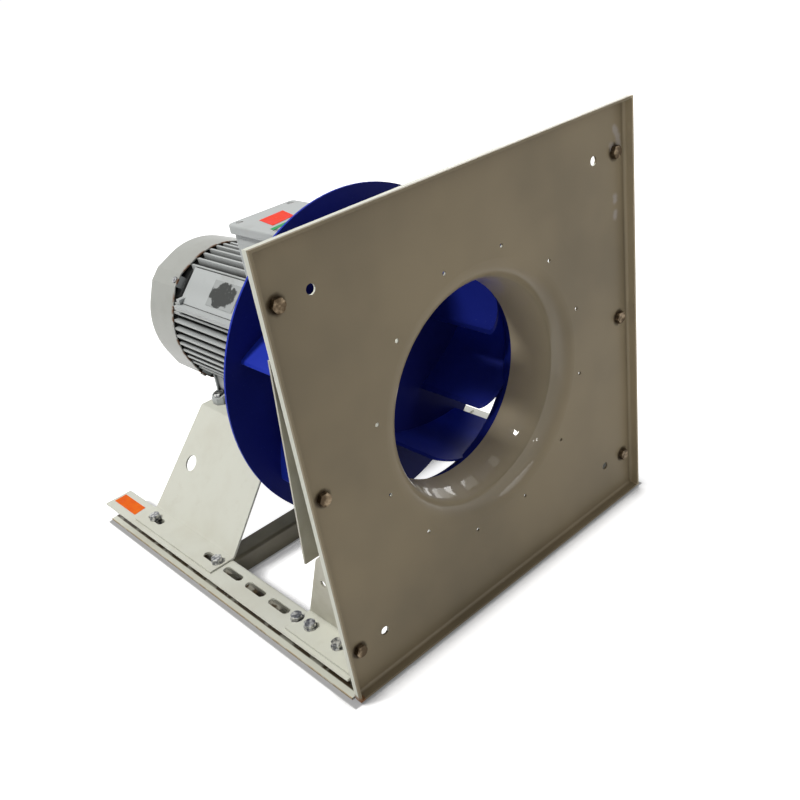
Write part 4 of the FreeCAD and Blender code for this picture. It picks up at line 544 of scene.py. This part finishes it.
# %% Plastic, rubber and brass
plastic = Finish("black_plastic")
grain = clouds(plastic, 1100.0, 2.0)
plastic.feed(Base_Color=plastic.mix(clouds(plastic, 60.0, 3.0).ramp(0.45, 0.8) * 0.6,
                                    paint(26, 27, 29), paint(62, 60, 57)),
             Roughness=0.4 + 0.2 * grain, Normal=bump(plastic, grain, 0.00008, 0.0004))

rubber = Finish("gasket_rubber")
pores = clouds(rubber, 900.0, 3.0)
rubber.feed(Base_Color=rubber.mix(pores, paint(24, 24, 25), paint(52, 50, 49)),
            Roughness=0.7 + 0.2 * pores, Normal=bump(rubber, pores, 0.0001))

brass = Finish("brass", Metallic=1.0)
tarnish = clouds(brass, 220.0, 3.0).ramp(0.4, 0.7)
brass.feed(Base_Color=brass.mix(tarnish, paint(206, 170, 92), paint(128, 92, 46)),
           Roughness=0.22 + 0.25 * tarnish, Normal=bump(brass, tarnish, 0.00003, 0.0002))
print("plastic, rubber and brass ready")

# %% [markdown]
# The thin aluminium plate on the motor's flat is brushed along the motor, and most of its dark
# print has rubbed off. It carries no words. What remains is a patch round the middle with a
# ragged outline: the distance from the middle, counted in half lengths and half heights of the
# plate, plus a cloud, and a ramp that cuts the sum.

# %% Motor plate
METAL = paint(160, 163, 162)
PRINT = paint(58, 60, 58)
PLATE_LOW, PLATE_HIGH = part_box("nameplate")
PLATE_MIDDLE = (PLATE_LOW + PLATE_HIGH) / 2
PLATE_HALF = (PLATE_HIGH - PLATE_LOW) / 2

plate_metal = Finish("plate_metal", Metallic=0.7)
brushed = clouds(plate_metal, 1.0, 2.0, 0.5, stretched(plate_metal, 60.0, 2400.0, 60.0))
outwards = from_point((along(plate_metal, "Y") - PLATE_MIDDLE.y) / PLATE_HALF.y,
                      (along(plate_metal, "Z") - PLATE_MIDDLE.z) / PLATE_HALF.z, (0.0, 0.0))
patch = (outwards + 1.3 * clouds(plate_metal, 55.0, 3.0)).ramp(1.60, 1.50)
scratched = clouds(plate_metal, 300.0, 4.0, 0.7).ramp(0.62, 0.7)
printed = patch * (1 - scratched * 0.5)
plate_metal.feed(Base_Color=plate_metal.mix(printed, METAL, PRINT),
                 Roughness=0.3 + 0.2 * brushed,
                 Normal=bump(plate_metal, brushed + printed, 0.00004, 0.0002))
print("motor plate", round(PLATE_HALF.y * 2000, 1), "mm long")

# %% [markdown]
# Labels are printed film. They fade, crease and lift at their edges. Here they stay bare: a
# colour that fades in patches, a little rubbed white, with fine creases in a satin surface.

# %% Labels
def film(name, strong, faded):
    label = Finish(name, Specular_IOR_Level=0.12)
    fade = clouds(label, 55.0, 3.0).ramp(0.35, 0.75)
    rub = clouds(label, 260.0, 4.0, 0.65).ramp(0.64, 0.74) * 0.4
    crease = label.node("ShaderNodeTexVoronoi", {"feature": "DISTANCE_TO_EDGE"},
                        {"Vector": label.place, "Scale": 60.0}, out="Distance").ramp(0.0, 0.08)
    label.feed(Base_Color=label.mix(rub, label.mix(fade, strong, faded), paint(232, 222, 208)),
               Roughness=0.46 + 0.2 * fade, Normal=bump(label, crease, 0.00006, 0.0002))
    return label


orange = film("label_orange", paint(240, 96, 10), paint(246, 118, 28))
red = film("label_red", paint(246, 46, 22), paint(248, 74, 44))
green = film("label_green", paint(24, 150, 82), paint(58, 172, 108))
print("labels ready")

# %% [markdown]
# Every node takes the finish that the record gives to its material slot, so a piece that is
# added later picks up the same look by naming its slot. Two pieces differ from the rest of their
# slot: the plate's bolts get a browner zinc, and the cross beam is painted darker as shade.

# %% Dress every node
finishes = {f.name: f.material for f in (
    frame_paint, taupe, blue, cast, cowl, zinc, shaft_steel, bearing_steel, iron, core,
    copper, plastic, rubber, brass, plate_metal, orange, red, green)}
special = {"plate_bolts": brown_zinc.material, "cross_beam": shaded_beam_paint.material}
undressed = []
for name, piece in nodes.items():
    for slot in piece.material_slots:
        slot_name = slot.material.name.split(".")[0] if slot.material else ""
        if slot_name in finishes:
            slot.material = special.get(name, finishes[slot_name])
        else:
            undressed.append((name, slot_name))
print("finishes:", len(finishes) + len(special), "undressed:", undressed)

# %% [markdown]
# A plain pale floor carries the soft shadow. It reaches far behind the fan, because the camera
# looks almost level at the top of the picture. What the camera sees, straight or in a glossy
# surface, is lifted to white paper by a glow, and the light on the fan stays as it was.
#
# The glow would also wash out the shadow right beside the rails. So a shadow is painted in: the
# paper is greyer and glows less where the fan closes in on it, and in a narrow band under and
# beside each rail.

# %% Floor and world
FLOOR_REACH = 40.0
FLOOR_GLOW = 0.86
SKY_LIGHT = 0.2
RAIL_INNER, RAIL_OUTER, RAIL_END = 0.2000, 0.2570, 0.2880
WHITE, BLACK = (1, 1, 1, 1), (0, 0, 0, 1)
PAPER, PAPER_SHADE = (0.8, 0.8, 0.8, 1), (0.3, 0.3, 0.31, 1)


def seen_by_camera(nodes):
    ray = nodes.node("ShaderNodeLightPath", out="Is Camera Ray")
    return (ray + ray.other("Is Glossy Ray") + ray.other("Is Transmission Ray")).at_most(1.0)


floor_mesh = bpy.data.meshes.new("floor")
floor_mesh.from_pydata([(-FLOOR_REACH, -FLOOR_REACH, 0), (FLOOR_REACH, -FLOOR_REACH, 0),
                        (FLOOR_REACH, FLOOR_REACH, 0), (-FLOOR_REACH, FLOOR_REACH, 0)],
                       [], [(0, 1, 2, 3)])
floor = bpy.data.objects.new("floor", floor_mesh)
bpy.context.scene.collection.objects.link(floor)
floor_paper = Finish("floor_paper", Roughness=0.9, Specular_IOR_Level=0.0,
                     Emission_Strength=FLOOR_GLOW)
outward = along(floor_paper, "X").size()
# Painted shadow: a grey band under and beside each rail, and grey where the fan closes in.
band = outward.ramp(RAIL_OUTER + 0.0035, RAIL_OUTER) * outward.ramp(RAIL_INNER - 0.02, RAIL_INNER)
band = band * along(floor_paper, "Y").size().ramp(RAIL_END + 0.0040, RAIL_END)
contact_shadow = hollow(floor_paper, 0.035).ramp(0.06, 0.30).at_least(band)
glow = seen_by_camera(floor_paper) * (1 - contact_shadow * 0.85)
floor_paper.feed(Base_Color=floor_paper.mix(contact_shadow, PAPER, PAPER_SHADE),
                 Emission_Color=floor_paper.mix(glow, BLACK, WHITE))
floor_mesh.materials.append(floor_paper.material)

world = bpy.data.worlds.new("studio")
bpy.context.scene.world = world
world.use_nodes = True
studio = Nodes(world.node_tree, "Background")
sky = (SKY_LIGHT, SKY_LIGHT, SKY_LIGHT, 1)
studio.feed(Color=studio.mix(seen_by_camera(studio), sky, WHITE))
print("floor", FLOOR_REACH * 2, "m wide, light from the sky", SKY_LIGHT)

# %% [markdown]
# The main light is a soft box high on the left and a little behind the fan, so the rails, the
# slope of the pedestal and the motor are lit while the plate stays in its own shade. Its place
# was found from which faces of the wheel are lit. Two wide, weak lamps fill in, one from the
# front right and one from behind, so that no side is black. Three small, weak lamps are there
# only to show as highlights in the glossy bell.

# %% Lights
MIDDLE = Vector((0.0, 0.0, 0.25))
SPARKS = ((-1.21, -1.45, 2.72), (-1.05, -1.95, 2.3), (1.75, -0.4, 2.7))


def lamp(name, place, width, power, colour=(1.0, 1.0, 1.0)):
    # A round lamp that looks at the middle of the fan.
    light = bpy.data.lights.new(name, "AREA")
    light.shape = "DISK"
    light.size = width
    light.energy = power
    light.color = colour
    made = bpy.data.objects.new(name, light)
    made.location = place
    made.rotation_euler = (MIDDLE - Vector(place)).to_track_quat("-Z", "Y").to_euler()
    bpy.context.scene.collection.objects.link(made)


lamp("key", (-1.55, 0.69, 3.2), 0.6, 78.0, (1.0, 0.99, 0.96))
lamp("front_fill", (1.1, -2.75, 1.2), 1.3, 17.0)
lamp("rear_fill", (2.5, 1.7, 1.3), 1.6, 20.0)
for number, place in enumerate(SPARKS):
    lamp("spark_" + str(number), place, 0.11, 1.6)
print("lamps:", len(bpy.data.lights))

# %% [markdown]
# The camera stands high to the left of the plate, with a slight roll, as the photograph was
# taken. Its three directions were found by fitting known points of the fan to the picture.

# %% Camera
LENS, SENSOR = 40.19, 36.0
SHIFT = (-0.00408, 0.08772)
EYE = Vector((-0.59445, -0.88224, 0.70301))
LOOK = Vector((0.51683, 0.67371, -0.52820)).normalized()
RIGHT = Vector((0.72381, -0.67336, -0.15063))
RIGHT = (RIGHT - LOOK * RIGHT.dot(LOOK)).normalized()
UP = RIGHT.cross(LOOK)
camera_data = bpy.data.cameras.new("camera")
camera_data.lens = LENS
camera_data.sensor_width = SENSOR
camera_data.shift_x, camera_data.shift_y = SHIFT
camera_data.clip_end = 200.0
camera = bpy.data.objects.new("camera", camera_data)
turn = Matrix((RIGHT, UP, -LOOK)).transposed().to_4x4()
camera.matrix_world = Matrix.Translation(EYE) @ turn
bpy.context.scene.collection.objects.link(camera)
bpy.context.scene.camera = camera
bpy.context.scene.view_settings.view_transform = "Standard"
print("camera", round((EYE - MIDDLE).length, 3), "m from the fan")
